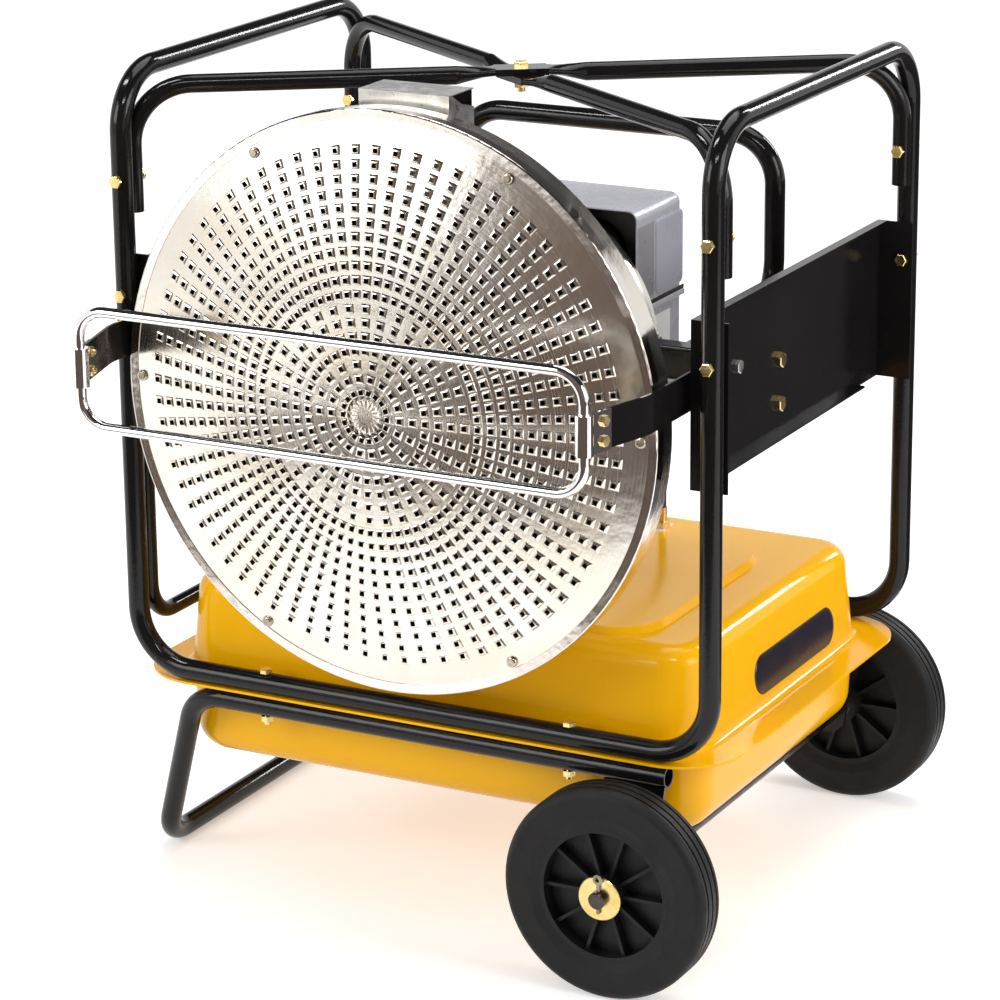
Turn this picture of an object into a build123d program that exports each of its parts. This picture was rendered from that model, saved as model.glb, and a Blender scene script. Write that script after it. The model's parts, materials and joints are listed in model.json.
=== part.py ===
from build123d import *
from math import cos, degrees, pi, radians, sin, sqrt
import os

# Wheeled infrared oil heater: a tube roll frame on a two-wheeled base tube, a yellow fuel tank
# clamped between them, and an emitter head with its oil burner hung between two side plates.
# X runs to the right, Y from the front to the back and Z up. The origin is on the floor, in the
# middle of the whole object. All sizes are in millimetres.

# Fits and clearances
weld_gap = 0.1            # between two tubes that lie side by side
bolt_clear = 0.2          # radial, bolt in its hole
run_clear = 0.05          # radial, shaft in its bore
side_clear = 0.3          # between two faces that pass each other
seat_clear = 0.1          # radial, a tyre on its rim

# Emitter disc and what goes round it: the drum, the rim ring, the side plates and the posts
disc_r = 330.0
drum_r = disc_r + 4.0
rim_wall = 2.9            # the ring's wall, outside its fit on the drum
rim_outer_r = drum_r + seat_clear + rim_wall
rim_to_web = 6.0
web_x = rim_outer_r + rim_to_web      # inner face of the side plate's web
web_to_post = 32.0
post_x = web_x + web_to_post
frame_width = 2 * post_x              # between the post axes

# Roll frame, one tube bent round the heater
tube_d = 25.4
tube_wall = 2.0
tube_r = tube_d / 2
frame_depth = 560.0
rim_below = 40.0          # from the frame's bottom axis up to the rim ring
frame_height = 2 * rim_outer_r + rim_below
frame_bend_r = 70.0
tank_sheet = 1.5
wheel_d = 250.0
wheel_r = wheel_d / 2
axle_to_base = 118.6      # from the wheel axle up to the base tube
base_z = wheel_r + axle_to_base
frame_z = base_z + tube_d + 2 * tank_sheet
top_z = frame_z + frame_height
head_z = frame_z + rim_below + rim_outer_r

# Reach of the object in front of the front posts and behind the rear ones
guard_reach = 190.0
guard_rod_d = 12.0
clamp_sleeve_r = 10.0     # the guard's clamps stand out in front of its rod
axle_reach = 105.0
front_y = (guard_reach + clamp_sleeve_r - frame_depth - axle_reach) / 2
rear_y = front_y + frame_depth
mid_y = (front_y + rear_y) / 2

# Base tube with its foot
wheel_x = post_x - 90.0
base_right_x = wheel_x + 40.0
base_bend_x = post_x - 75.0
base_bend_r = 60.0
foot_x = wheel_x + wheel_r - tube_r
foot_inset = 75.0         # foot corners behind the front tube and ahead of the rear one
clamp_x = 200.0           # bolts through frame tube, tank flange and base tube
clamp_bolt_d = 8.0

# Wheels and axle
tyre_width = 50.0
tyre_bore_r = 80.0
tread_depth = 3.0
tread_line = 3.0
tread_pitch = 11.0
hub_length = 60.0
hub_r = 22.0
wheel_ribs = 10
rib_t = 4.0
axle_d = 20.0
washer_d = 52.0
washer_t = 3.0
pin_d = 4.0
hub_outer_reach = 93.0    # hub's outer face from the tube axis
bracket_t = 5.0

# Diagonal braces over the top
brace_d = 22.0
brace_wall = 2.0
brace_bend_r = 70.0
brace_z = top_z - 18.0
brace_leg_end_z = top_z - 166.0
brace_flat_t = 8.0
brace_flat_w = 34.0
brace_flat_length = 62.0
brace_taper_length = 45.0
brace_bolt_z = top_z - 124.0
centre_bolt_d = 10.0
post_bolt_d = 8.0

# Side plates
sheet = 2.5
plate_flange = 45.0
plate_low_z = head_z - 70.0
plate_high_z = head_z + 123.0
lip = 12.0
lip_rear_stop = 62.0      # the bottom lip ends this far before the rear edge
plate_post_bolt_z = head_z + 77.0

# Lift handle on the side away from the wheels
handle_d = 20.0
handle_wall = 2.0
handle_pivot_z = head_z - 47.0
handle_over_frame = 47.0  # the grip above the frame's bottom tube, axis to axis
handle_drop = handle_pivot_z - frame_z - handle_over_frame
handle_bend_r = 45.0
handle_eye_t = 6.0
handle_eye_w = 26.0
handle_eye_length = 34.0
handle_pin_d = 10.0
handle_pin_head_d = 18.0
handle_pin_head_t = 4.0

# Tank, two pressed shells joined at a flange
tank_gap = 30.0           # tank's side from the frame tube's axis plane
tank_width = frame_width - 2 * tank_gap
tank_depth = frame_depth - 2 * tank_gap
tank_corner_r = 55.0
pan_depth = 106.0
pan_edge_r = 38.0
pan_taper = 3.0
cover_height = 117.0
cover_edge_r = 25.0
cover_taper = 6.0
cover_flare_r = 12.0
plateau_width = tank_width - 160.0
plateau_depth = tank_depth - 140.0
plateau_corner_r = 60.0
plateau_rise = 8.0
plateau_taper = 35.0
plateau_front = 62.0      # front edge behind the front tube axis
flange_width = frame_width + 26.0
flange_depth = frame_depth + 20.0
flange_corner_r = 80.0
neck_x = -120.0
neck_back = frame_depth - 102.0       # behind the front tube axis
neck_r = 28.0
neck_wall = 2.0
neck_foot = 6.0           # weld foot round the neck
neck_height = 30.0
cap_r = neck_r + 8.0
cap_height = 24.0
cap_top_t = 8.0
cap_grips = 12
cap_grip_r = 4.0
drain_x = 250.0
drain_r = 8.0
drain_boss_r = 13.0
drain_boss_h = 8.0
drain_inset = 0.5         # plug's face up from the tank's underside
drain_key_af = 8.0
outlet_x = 100.0
outlet_r = 6.0
outlet_bore_r = outlet_r - 2.0
outlet_height = 26.0
outlet_nut_h = 8.0
outlet_lift = 15.0        # the pipe's mouth above the tank's bottom
hose_d = 10.0
hose_wall = 2.0
hose_rise = 72.0
hose_bend_r = 50.0

# Emitter head
disc_front = 54.0         # rim ahead of the front tube axis
disc_rise = 45.0
disc_t = 1.5
louvre_size = 6.6         # square hole pierced in the disc
louvre_margin = 37.0      # from the disc's edge to the outermost ring of louvres
louvre_pitch = 15.6       # from ring to ring
louvre_inner_r = 25.0     # no ring lies closer to the middle
louvre_columns = 72
louvre_half_r = 130.0     # inside this radius only every second column goes on
louvre_quarter_r = 67.0   # and inside this one every fourth
disc_screws_count = 6
disc_screw_r = disc_r - 12.0
rim_depth = 12.0
rim_lip_t = 2.0
drum_depth = 40.0
drum_t = 1.2
chamber_r = 180.0
chamber_t = 1.5
cone_end = 60.0           # where the drum's cone meets the chamber, behind the front tube axis
chamber_end = 280.0
flame_tube_r = 120.0
flame_tube_t = 2.0
spreader_r = 95.0
leg_w = 12.0              # the spreader's three legs
band_back = 247.0
band_width = 40.0
band_t = 3.0
arm_pad_reach = 6.0
arm_height = 40.0
arm_depth = 30.0
arm_wall = 3.0
arm_z = head_z + 6.0
arm_plate_t = 5.0
arm_plate_height = 92.0
arm_plate_width = 60.0
arm_bolt_d = 10.0
arm_bolt_pitch = 52.0
arm_bolt_mid_z = head_z - 4.0

# Exhaust hood on top of the drum
hood_width = 114.0
hood_front = 2.0          # ahead of the tube axis plane
hood_length = 58.0
hood_top_z = top_z + 8.0
hood_t = 1.2
hood_gap = 12.0           # open height under the hood's top

# Hand guard
guard_half_width = web_x - 28.0
guard_half_height = 67.0
guard_bend_r = 34.0
guard_z = head_z + 42.0
clamp_sleeve_length = 45.0
tongue_t = 2.5
guard_arm_t = 3.0
guard_arm_height = 44.0
guard_arm_end = 150.0     # behind the front tube axis
guard_arm_bend = 90.0     # ahead of the front tube axis
guard_screw_d = 6.0
guard_screw_pitch = 22.0
guard_bolt_d = 8.0

# Rear hoop round the burner
hoop_half_width = 215.0
hoop_back = 530.0
hoop_top_z = head_z + 217.0
hoop_bend_r = 60.0

# Burner
case_half_width = 150.0
case_front = chamber_end
case_rear = 410.0
case_sheet = 1.5
case_low_z = head_z - 79.0
case_seam_z = head_z + 50.0
case_high_z = head_z + 168.0
case_edge_r = 16.0
case_top_r = 12.0
tray_t = 3.0
tray_recess = 0.6
burner_back = 346.0
volute_r = 60.0
volute_half = 40.0
volute_wall = 3.0
blast_tube_r = 45.0
blast_tube_t = 2.5
blast_tube_front = 195.0
burner_flange_r = 59.0
burner_flange_t = 5.0
fan_r = 52.0
fan_width = 56.0
fan_blades = 24
motor_r = 44.0
motor_length = 82.0
motor_step = 8.0          # the end shield is this much smaller
motor_shaft_d = 12.0
pump_r = 27.0
pump_length = 46.0
intake_x = 88.0
intake_z = head_z + 111.0
intake_r = 40.0


def at(back):
    """Y of a point that lies this far behind the front frame tube's axis."""
    return front_y + back


def hex_bolt(shank_d, grip, nut=True):
    """A hexagon bolt through a grip: the head stands on Z = 0 and the shank hangs below it."""
    across_flats = 1.2 * shank_d + 4
    head_h = 0.65 * shank_d
    nut_h = 0.8 * shank_d
    with BuildPart() as bolt:
        with BuildSketch():
            RegularPolygon(across_flats / 2, 6, major_radius=False)
        extrude(amount=head_h)
        chamfer(bolt.faces().sort_by(Axis.Z)[-1].edges(), 0.1 * shank_d)
        with BuildSketch():
            Circle(shank_d / 2)
        extrude(amount=-grip)
        if nut:
            with BuildSketch(Plane.XY.offset(-grip)):
                RegularPolygon(across_flats / 2, 6, major_radius=False)
            extrude(amount=-nut_h)
            with BuildSketch(Plane.XY.offset(-grip - nut_h)):
                Circle(shank_d / 2)
            extrude(amount=-shank_d / 2)
    return bolt.part


def round_screw(shank_d, length, head_r, head_h):
    """A domed screw: the head stands on Z = 0 and the shank hangs below it."""
    with BuildPart() as screw:
        with BuildSketch():
            Circle(head_r)
        extrude(amount=head_h)
        fillet(screw.faces().sort_by(Axis.Z)[-1].edges(), 0.7 * head_h)
        with BuildSketch():
            Circle(shank_d / 2)
        extrude(amount=-length)
    return screw.part


def bent_tube(points, radii, outer_d, wall):
    """A round tube along straight runs joined by tangent bends."""
    with BuildPart() as tube:
        with BuildLine() as route:
            FilletPolyline(*points, radius=radii)
        with BuildSketch(Plane(origin=route.line @ 0, z_dir=route.line % 0)):
            Circle(outer_d / 2)
            Circle(outer_d / 2 - wall, mode=Mode.SUBTRACT)
        sweep()
    return tube.part


facing_front = (90, 0, 0)     # turns a part's top towards the front


def front_plane(x, y, z):
    """A plane that faces the front: its x runs to the right and its y upwards."""
    return Plane(origin=(x, y, z), x_dir=(1, 0, 0), z_dir=(0, -1, 0))


# Roll frame: right and left halves, butt-welded in the middle of the front and rear bottom tubes
frame_route = [
    (0, front_y, frame_z),
    (post_x, front_y, frame_z),
    (post_x, front_y, top_z),
    (post_x, rear_y, top_z),
    (post_x, rear_y, frame_z),
    (0, rear_y, frame_z),
]
brace_leg_in = tube_r + brace_d / 2 + weld_gap    # brace legs stand behind the posts
plate_front_y = front_y + tube_r + side_clear
plate_rear_y = rear_y - tube_r - side_clear

with BuildPart() as roll_frame_right:
    add(bent_tube(frame_route, frame_bend_r, tube_d, tube_wall))
    with Locations((clamp_x, front_y, frame_z), (clamp_x, rear_y, frame_z)):
        Cylinder(clamp_bolt_d / 2 + bolt_clear, 2 * tube_d, mode=Mode.SUBTRACT)
    post_bolt_zs = (brace_bolt_z, plate_post_bolt_z)
    with Locations(*[(post_x, y, z) for y in (front_y, rear_y) for z in post_bolt_zs]):
        Cylinder(post_bolt_d / 2 + bolt_clear, 2 * tube_d, rotation=facing_front, mode=Mode.SUBTRACT)

with BuildPart() as roll_frame_left:
    mirror(roll_frame_right.part, about=Plane.YZ)

# Base tube: two runs under the frame, with the foot bar between them on the left
foot_front_y = at(foot_inset)
foot_rear_y = rear_y - foot_inset
base_route = [
    (base_right_x, front_y, base_z),
    (-base_bend_x, front_y, base_z),
    (-foot_x, foot_front_y, tube_r),
    (-foot_x, foot_rear_y, tube_r),
    (-base_bend_x, rear_y, base_z),
    (base_right_x, rear_y, base_z),
]
clamp_points = [(x, y) for x in (-clamp_x, clamp_x) for y in (front_y, rear_y)]

with BuildPart() as base_tube:
    add(bent_tube(base_route, base_bend_r, tube_d, tube_wall))
    with Locations(*[(x, y, base_z) for x, y in clamp_points]):
        Cylinder(clamp_bolt_d / 2 + bolt_clear, 2 * tube_d, mode=Mode.SUBTRACT)

clamp_grip = frame_z - base_z + tube_d
clamp_bolt = hex_bolt(clamp_bolt_d, clamp_grip)
with BuildPart() as base_clamp_bolts:
    with Locations(*[(x, y, frame_z + tube_r) for x, y in clamp_points]):
        add(clamp_bolt)

# Axle brackets under the base tubes, the fixed axle and what is on it
axle_bore_r = axle_d / 2 + run_clear
bracket_top_half = 42.0
bracket_boss_r = 22.0

with BuildPart() as axle_brackets:
    for y in (front_y, rear_y):
        with BuildSketch(front_plane(wheel_x, y + bracket_t / 2, wheel_r)):
            with BuildLine():
                Polyline(
                    (-bracket_top_half, axle_to_base),
                    (bracket_top_half * 0.9, axle_to_base),
                    (bracket_boss_r, 0),
                    (-bracket_boss_r, 0),
                    close=True,
                )
            make_face()
            Circle(bracket_boss_r)
            Circle(axle_d / 2, mode=Mode.SUBTRACT)
        extrude(amount=bracket_t)
    with Locations((wheel_x, front_y, base_z), (wheel_x, rear_y, base_z)):
        Cylinder(tube_r, 4 * bracket_top_half, rotation=(0, 90, 0), mode=Mode.SUBTRACT)

cotter_reach = hub_outer_reach + side_clear + washer_t + pin_d / 2 + side_clear
cotter_points = [(wheel_x, front_y - cotter_reach, wheel_r), (wheel_x, rear_y + cotter_reach, wheel_r)]

with BuildPart() as axle:
    with Locations((wheel_x, mid_y, wheel_r)):
        Cylinder(axle_d / 2, frame_depth + 2 * axle_reach, rotation=facing_front)
    chamfer(axle.edges().filter_by(GeomType.CIRCLE), 1.5)
    with Locations(*cotter_points):
        Cylinder(pin_d / 2 + run_clear, 2 * axle_d, mode=Mode.SUBTRACT)

with BuildPart() as axle_washers:
    for side, y in ((-1, front_y), (1, rear_y)):
        face_y = y + side * (hub_outer_reach + side_clear)
        with BuildSketch(Plane(origin=(wheel_x, face_y, wheel_r), z_dir=(0, side, 0))):
            Circle(washer_d / 2)
            Circle(axle_bore_r, mode=Mode.SUBTRACT)
        extrude(amount=washer_t)
    chamfer(axle_washers.edges().filter_by(GeomType.CIRCLE).sort_by(SortBy.RADIUS)[-4:], 0.8)

pin_below = 17.0          # the pin's ends from the axle's axis
pin_above = 19.0
pin_eye_r = pin_d / 2 + 4
pin_eye_wall = 3.0
with BuildPart() as axle_cotter_pins:
    for x, y, z in cotter_points:
        with BuildSketch(Plane(origin=(x, y, z - pin_below))):
            Circle(pin_d / 2)
        extrude(amount=pin_below + pin_above)
        with BuildSketch(Plane(origin=(x, y, z + pin_above), z_dir=(0, 1, 0), x_dir=(1, 0, 0))):
            with Locations((0, 1 - pin_eye_r)):
                Circle(pin_eye_r)
                Circle(pin_eye_r - pin_eye_wall, mode=Mode.SUBTRACT)
        extrude(amount=0.4 * pin_d, both=True)

spacer_length = hub_outer_reach - hub_length - bracket_t / 2 - side_clear
with BuildPart() as axle_spacers:
    for side, y in ((-1, front_y), (1, rear_y)):
        with BuildSketch(Plane(origin=(wheel_x, y + side * bracket_t / 2, wheel_r), z_dir=(0, side, 0))):
            Circle(axle_d / 2 + 4)
            Circle(axle_bore_r, mode=Mode.SUBTRACT)
        extrude(amount=spacer_length)


def wheel_plane(centre_y):
    """A plane through the axle: its x runs along the axle and its y away from it."""
    return Plane(origin=(wheel_x, centre_y, wheel_r), x_dir=(0, 1, 0), z_dir=(1, 0, 0))


def tyre(centre_y):
    """A solid rubber tyre with three tread lines round it."""
    half = tyre_width / 2
    shoulder = 9.0
    side_in = 3.0
    side_rise = 12.0
    with BuildPart() as made:
        with BuildSketch(wheel_plane(centre_y)):
            with BuildLine():
                Polyline(
                    (half - side_in, tyre_bore_r + seat_clear),
                    (-half + side_in, tyre_bore_r + seat_clear),
                    (-half, tyre_bore_r + side_rise),
                    (-half, wheel_r - shoulder),
                )
                ThreePointArc(
                    (-half, wheel_r - shoulder),
                    (-half + shoulder * 0.35, wheel_r - shoulder * 0.35),
                    (-half + shoulder, wheel_r),
                )
                Line((-half + shoulder, wheel_r), (half - shoulder, wheel_r))
                ThreePointArc(
                    (half - shoulder, wheel_r),
                    (half - shoulder * 0.35, wheel_r - shoulder * 0.35),
                    (half, wheel_r - shoulder),
                )
                Polyline(
                    (half, wheel_r - shoulder),
                    (half, tyre_bore_r + side_rise),
                    (half - side_in, tyre_bore_r + seat_clear),
                )
            make_face()
            with Locations(*[(n * tread_pitch, wheel_r) for n in (-1, 0, 1)]):
                Rectangle(tread_line, 2 * tread_depth, mode=Mode.SUBTRACT)
        revolve(axis=Axis((wheel_x, centre_y, wheel_r), (0, 1, 0)))
    return made.part


def rim(centre_y, hub_in):
    """A moulded rim: hub, dish, ribs and tyre seat. The hub reaches hub_in further to the frame."""
    seat_t = 6.0
    dish_t = 6.0
    half = tyre_width / 2 - 3
    side = 1 if hub_in > 0 else -1
    hub_outer = -side * (hub_length / 2 - abs(hub_in) / 2)
    with BuildPart() as made:
        with BuildSketch(wheel_plane(centre_y)):
            with Locations((0, tyre_bore_r - seat_t / 2)):
                Rectangle(2 * half, seat_t)
            with Locations((0, (tyre_bore_r + hub_r) / 2 - seat_t / 2)):
                Rectangle(dish_t, tyre_bore_r - hub_r)
            with Locations((hub_outer + side * hub_length / 2, (hub_r + axle_bore_r) / 2)):
                Rectangle(hub_length, hub_r - axle_bore_r)
        revolve(axis=Axis((wheel_x, centre_y, wheel_r), (0, 1, 0)))
        rib_length = tyre_bore_r - seat_t / 2 - (hub_r - 1)
        rib_mid = (tyre_bore_r - seat_t / 2 + hub_r - 1) / 2
        with BuildSketch(front_plane(wheel_x, centre_y, wheel_r)):
            with PolarLocations(rib_mid, wheel_ribs):
                Rectangle(rib_length, rib_t)
        extrude(amount=half - 6, both=True)
    return made.part


wheel_mid = hub_outer_reach - tyre_width / 2 - 3      # tyre's middle from the tube axis
hub_shift = hub_length - tyre_width - 6

with BuildPart() as front_tyre:
    add(tyre(front_y - wheel_mid))

with BuildPart() as rear_tyre:
    add(tyre(rear_y + wheel_mid))

with BuildPart() as front_rim:
    add(rim(front_y - wheel_mid, hub_shift))

with BuildPart() as rear_rim:
    add(rim(rear_y + wheel_mid, -hub_shift))

# Diagonal braces: bent tubes, flattened where they cross and bolted through the middle
leg_front_y = front_y + brace_leg_in
leg_rear_y = rear_y - brace_leg_in
diagonal = Vector(2 * post_x, leg_rear_y - leg_front_y, 0)
diagonal_half = diagonal.length / 2
diagonal_angle = Vector(1, 0, 0).get_angle(diagonal)


def brace(turn, lift):
    """A brace on its own X axis, its flat part lifted off the tube's axis, then turned into place."""
    flat_half = brace_flat_length / 2
    taper_end = flat_half + brace_taper_length
    leg_drop = brace_z - brace_leg_end_z
    with BuildPart() as made:
        for end in (-1, 1):
            add(
                bent_tube(
                    [(end * taper_end, 0, 0), (end * diagonal_half, 0, 0), (end * diagonal_half, 0, -leg_drop)],
                    brace_bend_r,
                    brace_d,
                    brace_wall,
                )
            )
            with BuildSketch(Plane(origin=(end * taper_end, 0, 0), x_dir=(0, 1, 0), z_dir=(-end, 0, 0))):
                Circle(brace_d / 2)
            with BuildSketch(Plane(origin=(end * flat_half, 0, lift), x_dir=(0, 1, 0), z_dir=(-end, 0, 0))):
                RectangleRounded(brace_flat_w, brace_flat_t, brace_flat_t / 2 - 0.1)
            loft()
        with Locations((0, 0, lift)):
            Box(brace_flat_length, brace_flat_w, brace_flat_t)
            Cylinder(centre_bolt_d / 2 + bolt_clear, 4 * brace_flat_t, mode=Mode.SUBTRACT)
    placed = Location((0, mid_y, brace_z), (0, 0, turn)) * made.part
    with BuildPart() as drilled:
        add(placed)
        ends = [(-1, -1), (1, 1)] if turn > 0 else [(-1, 1), (1, -1)]
        with Locations(*[(sx * post_x, mid_y + sy * (mid_y - leg_front_y), brace_bolt_z) for sx, sy in ends]):
            Cylinder(post_bolt_d / 2 + bolt_clear, 2 * brace_d, rotation=facing_front, mode=Mode.SUBTRACT)
    return drilled.part


with BuildPart() as brace_tube_upper:
    add(brace(diagonal_angle, brace_flat_t / 2))

with BuildPart() as brace_tube_lower:
    add(brace(-diagonal_angle, -brace_flat_t / 2))

brace_bolt_grip = tube_d + brace_d + weld_gap
brace_leg_bolt = hex_bolt(post_bolt_d, brace_bolt_grip)
centre_bolt = hex_bolt(centre_bolt_d, 2 * brace_flat_t)

# Side plates: a web between the posts, end flanges behind the posts and folded lips
arm_bolt_zs = [arm_bolt_mid_z + s * arm_bolt_pitch / 2 for s in (-1, 1)]
guard_bolt_backs = [62.0, 131.0]
plate_height = plate_high_z - plate_low_z

with BuildPart() as side_plate_right:
    with BuildSketch(Plane.XY.offset(plate_low_z)):
        with Locations((web_x + sheet / 2, (plate_front_y + plate_rear_y) / 2)):
            Rectangle(sheet, plate_rear_y - plate_front_y)
        with Locations((web_x + plate_flange / 2, plate_front_y + sheet / 2)):
            Rectangle(plate_flange, sheet)
        with Locations((web_x + plate_flange / 2, plate_rear_y - sheet / 2)):
            Rectangle(plate_flange, sheet)
    extrude(amount=plate_height)
    lip_front_y = plate_front_y + sheet
    with BuildSketch(Plane.XY.offset(plate_low_z)):
        with Locations((web_x + lip / 2, (lip_front_y + plate_rear_y - lip_rear_stop) / 2)):
            Rectangle(lip, plate_rear_y - lip_rear_stop - lip_front_y)
    extrude(amount=sheet)
    with BuildSketch(Plane.XY.offset(plate_high_z - sheet)):
        with Locations((web_x + lip / 2, (lip_front_y + plate_rear_y - sheet) / 2)):
            Rectangle(lip, plate_rear_y - sheet - lip_front_y)
    extrude(amount=sheet)
    with Locations(*[(web_x, at(band_back), z) for z in arm_bolt_zs]):
        Cylinder(arm_bolt_d / 2 + bolt_clear, 4 * lip, rotation=(0, 90, 0), mode=Mode.SUBTRACT)
    with Locations(*[(web_x, at(back), guard_z) for back in guard_bolt_backs]):
        Cylinder(guard_bolt_d / 2 + bolt_clear, 4 * lip, rotation=(0, 90, 0), mode=Mode.SUBTRACT)
    with Locations(*[(post_x, y, plate_post_bolt_z) for y in (plate_front_y, plate_rear_y)]):
        Cylinder(post_bolt_d / 2 + bolt_clear, 4 * sheet, rotation=facing_front, mode=Mode.SUBTRACT)

with BuildPart() as side_plate_left:
    mirror(side_plate_right.part, about=Plane.YZ)
    with Locations(*[(-post_x, y, handle_pivot_z) for y in (plate_front_y, plate_rear_y)]):
        Cylinder(handle_pin_d / 2, 4 * sheet, rotation=facing_front, mode=Mode.SUBTRACT)

plate_bolt_grip = tube_d + side_clear + sheet
plate_bolt = hex_bolt(post_bolt_d, plate_bolt_grip)
arm_bolt = hex_bolt(arm_bolt_d, sheet + arm_plate_t, nut=False)
guard_bolt = hex_bolt(guard_bolt_d, sheet + guard_arm_t)
with BuildPart() as frame_bolts:
    with Locations((0, mid_y, brace_z + brace_flat_t)):
        add(centre_bolt)
    for x in (-post_x, post_x):
        leg_heads = [(x, front_y - tube_r, brace_bolt_z), (x, leg_rear_y - brace_d / 2, brace_bolt_z)]
        with Locations(*[Location(p, facing_front) for p in leg_heads]):
            add(brace_leg_bolt)
        plate_heads = [(x, front_y - tube_r, plate_post_bolt_z), (x, plate_rear_y - sheet, plate_post_bolt_z)]
        with Locations(*[Location(p, facing_front) for p in plate_heads]):
            add(plate_bolt)
    for side in (-1, 1):
        outward = (0, side * 90, 0)
        for z in arm_bolt_zs:
            with Locations(Location((side * (web_x + sheet), at(band_back), z), outward)):
                add(arm_bolt)
        for back in guard_bolt_backs:
            with Locations(Location((side * (web_x + sheet), at(back), guard_z), outward)):
                add(guard_bolt)

# Lift handle: a U of tube with flattened eyes, hung on two pins in the left side plate's flanges
eye_front_y = plate_front_y + sheet + side_clear
eye_rear_y = plate_rear_y - sheet - side_clear
handle_leg_in = handle_d / 2
handle_x = -post_x
eye_low_z = handle_pivot_z - handle_eye_length
grip_z = handle_pivot_z - handle_drop

with BuildPart() as lift_handle:
    add(
        bent_tube(
            [
                (handle_x, eye_front_y + handle_leg_in, eye_low_z),
                (handle_x, eye_front_y + handle_leg_in, grip_z),
                (handle_x, eye_rear_y - handle_leg_in, grip_z),
                (handle_x, eye_rear_y - handle_leg_in, eye_low_z),
            ],
            handle_bend_r,
            handle_d,
            handle_wall,
        )
    )
    for eye_y, inward in ((eye_front_y, 1), (eye_rear_y, -1)):
        eye_at = (handle_x, eye_y, handle_pivot_z)
        with BuildSketch(Plane(origin=eye_at, x_dir=(-inward, 0, 0), z_dir=(0, inward, 0))):
            Circle(handle_eye_w / 2)
            with Locations((0, -handle_eye_length / 2)):
                Rectangle(handle_eye_w * 0.72, handle_eye_length)
            Circle(handle_pin_d / 2 + run_clear, mode=Mode.SUBTRACT)
        extrude(amount=handle_eye_t)
        with BuildSketch(Plane.XY.offset(eye_low_z - 4)):
            with Locations((handle_x, eye_y + inward * handle_leg_in)):
                Circle(handle_d / 2)
        extrude(amount=8)

with BuildPart() as handle_pivot_pins:
    for flange_y, inward in ((plate_front_y, 1), (plate_rear_y, -1)):
        pin_plane = Plane(origin=(handle_x, flange_y, handle_pivot_z), z_dir=(0, inward, 0))
        with BuildSketch(pin_plane):
            Circle(handle_pin_d / 2)
        extrude(amount=sheet + handle_eye_t + 2 * side_clear)
        with BuildSketch(pin_plane.offset(sheet + handle_eye_t + 2 * side_clear)):
            Circle(handle_pin_head_d / 2)
        extrude(amount=handle_pin_head_t)


# Tank shells
def tank_body(height, taper, edge_r, inset, direction):
    """A tapered block with rounded corners, standing on the flange or hanging from it."""
    with BuildPart() as made:
        with BuildSketch():
            RectangleRounded(tank_width - 2 * inset, tank_depth - 2 * inset, tank_corner_r - inset)
        extrude(amount=direction * (height - inset), taper=taper)
        far_face = made.faces().sort_by(Axis.Z)[-1 if direction > 0 else 0]
        fillet(far_face.edges(), edge_r - inset)
    return made.part


def inside_flange(shell, z):
    """The edges at this height along which the shell's side meets its flange."""
    level = shell.edges().filter_by_position(Axis.Z, z - 0.01, z + 0.01)
    level = level.filter_by_position(Axis.X, -tank_width / 2 - 1, tank_width / 2 + 1)
    return level.filter_by_position(Axis.Y, mid_y - tank_depth / 2 - 1, mid_y + tank_depth / 2 + 1)


pan_top_z = base_z + tube_r
seam_z = pan_top_z + tank_sheet
cover_base_z = seam_z + tank_sheet
cover_top_z = cover_base_z + cover_height
pan_low_z = seam_z - pan_depth

with BuildPart() as tank_pan:
    with BuildSketch(Plane.XY.offset(pan_top_z)):
        with Locations((0, mid_y)):
            RectangleRounded(flange_width, flange_depth, flange_corner_r)
    extrude(amount=tank_sheet)
    with Locations((0, mid_y, seam_z)):
        add(tank_body(pan_depth, pan_taper, pan_edge_r, 0, -1))
        add(tank_body(pan_depth, pan_taper, pan_edge_r, tank_sheet, -1), mode=Mode.SUBTRACT)
    with Locations(*[(x, y, seam_z) for x, y in clamp_points]):
        Cylinder(clamp_bolt_d / 2 + bolt_clear, 6 * tank_sheet, mode=Mode.SUBTRACT)
    with BuildSketch(Plane(origin=(drain_x, mid_y, pan_low_z))):
        Circle(drain_boss_r)
    extrude(amount=drain_boss_h)
    with Locations((drain_x, mid_y, pan_low_z)):
        Cylinder(drain_r, 3 * drain_boss_h, mode=Mode.SUBTRACT)

with BuildPart() as drain_plug:
    with BuildSketch(Plane(origin=(drain_x, mid_y, pan_low_z + drain_inset))):
        Circle(drain_r - run_clear)
    extrude(amount=drain_boss_h)
    with BuildSketch(Plane(origin=(drain_x, mid_y, pan_low_z + drain_inset))):
        RegularPolygon(drain_key_af / 2, 6, major_radius=False)
    extrude(amount=drain_boss_h / 2, mode=Mode.SUBTRACT)


def plateau(inset, height):
    """The raised field in the middle of the cover's top."""
    with BuildPart() as made:
        with BuildSketch():
            RectangleRounded(plateau_width - 2 * inset, plateau_depth - 2 * inset, plateau_corner_r - inset)
        extrude(amount=height, taper=plateau_taper)
    return made.part


plateau_y = at(plateau_front + plateau_depth / 2)
neck_y = at(neck_back)
neck_top_z = cover_top_z + neck_height

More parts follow.
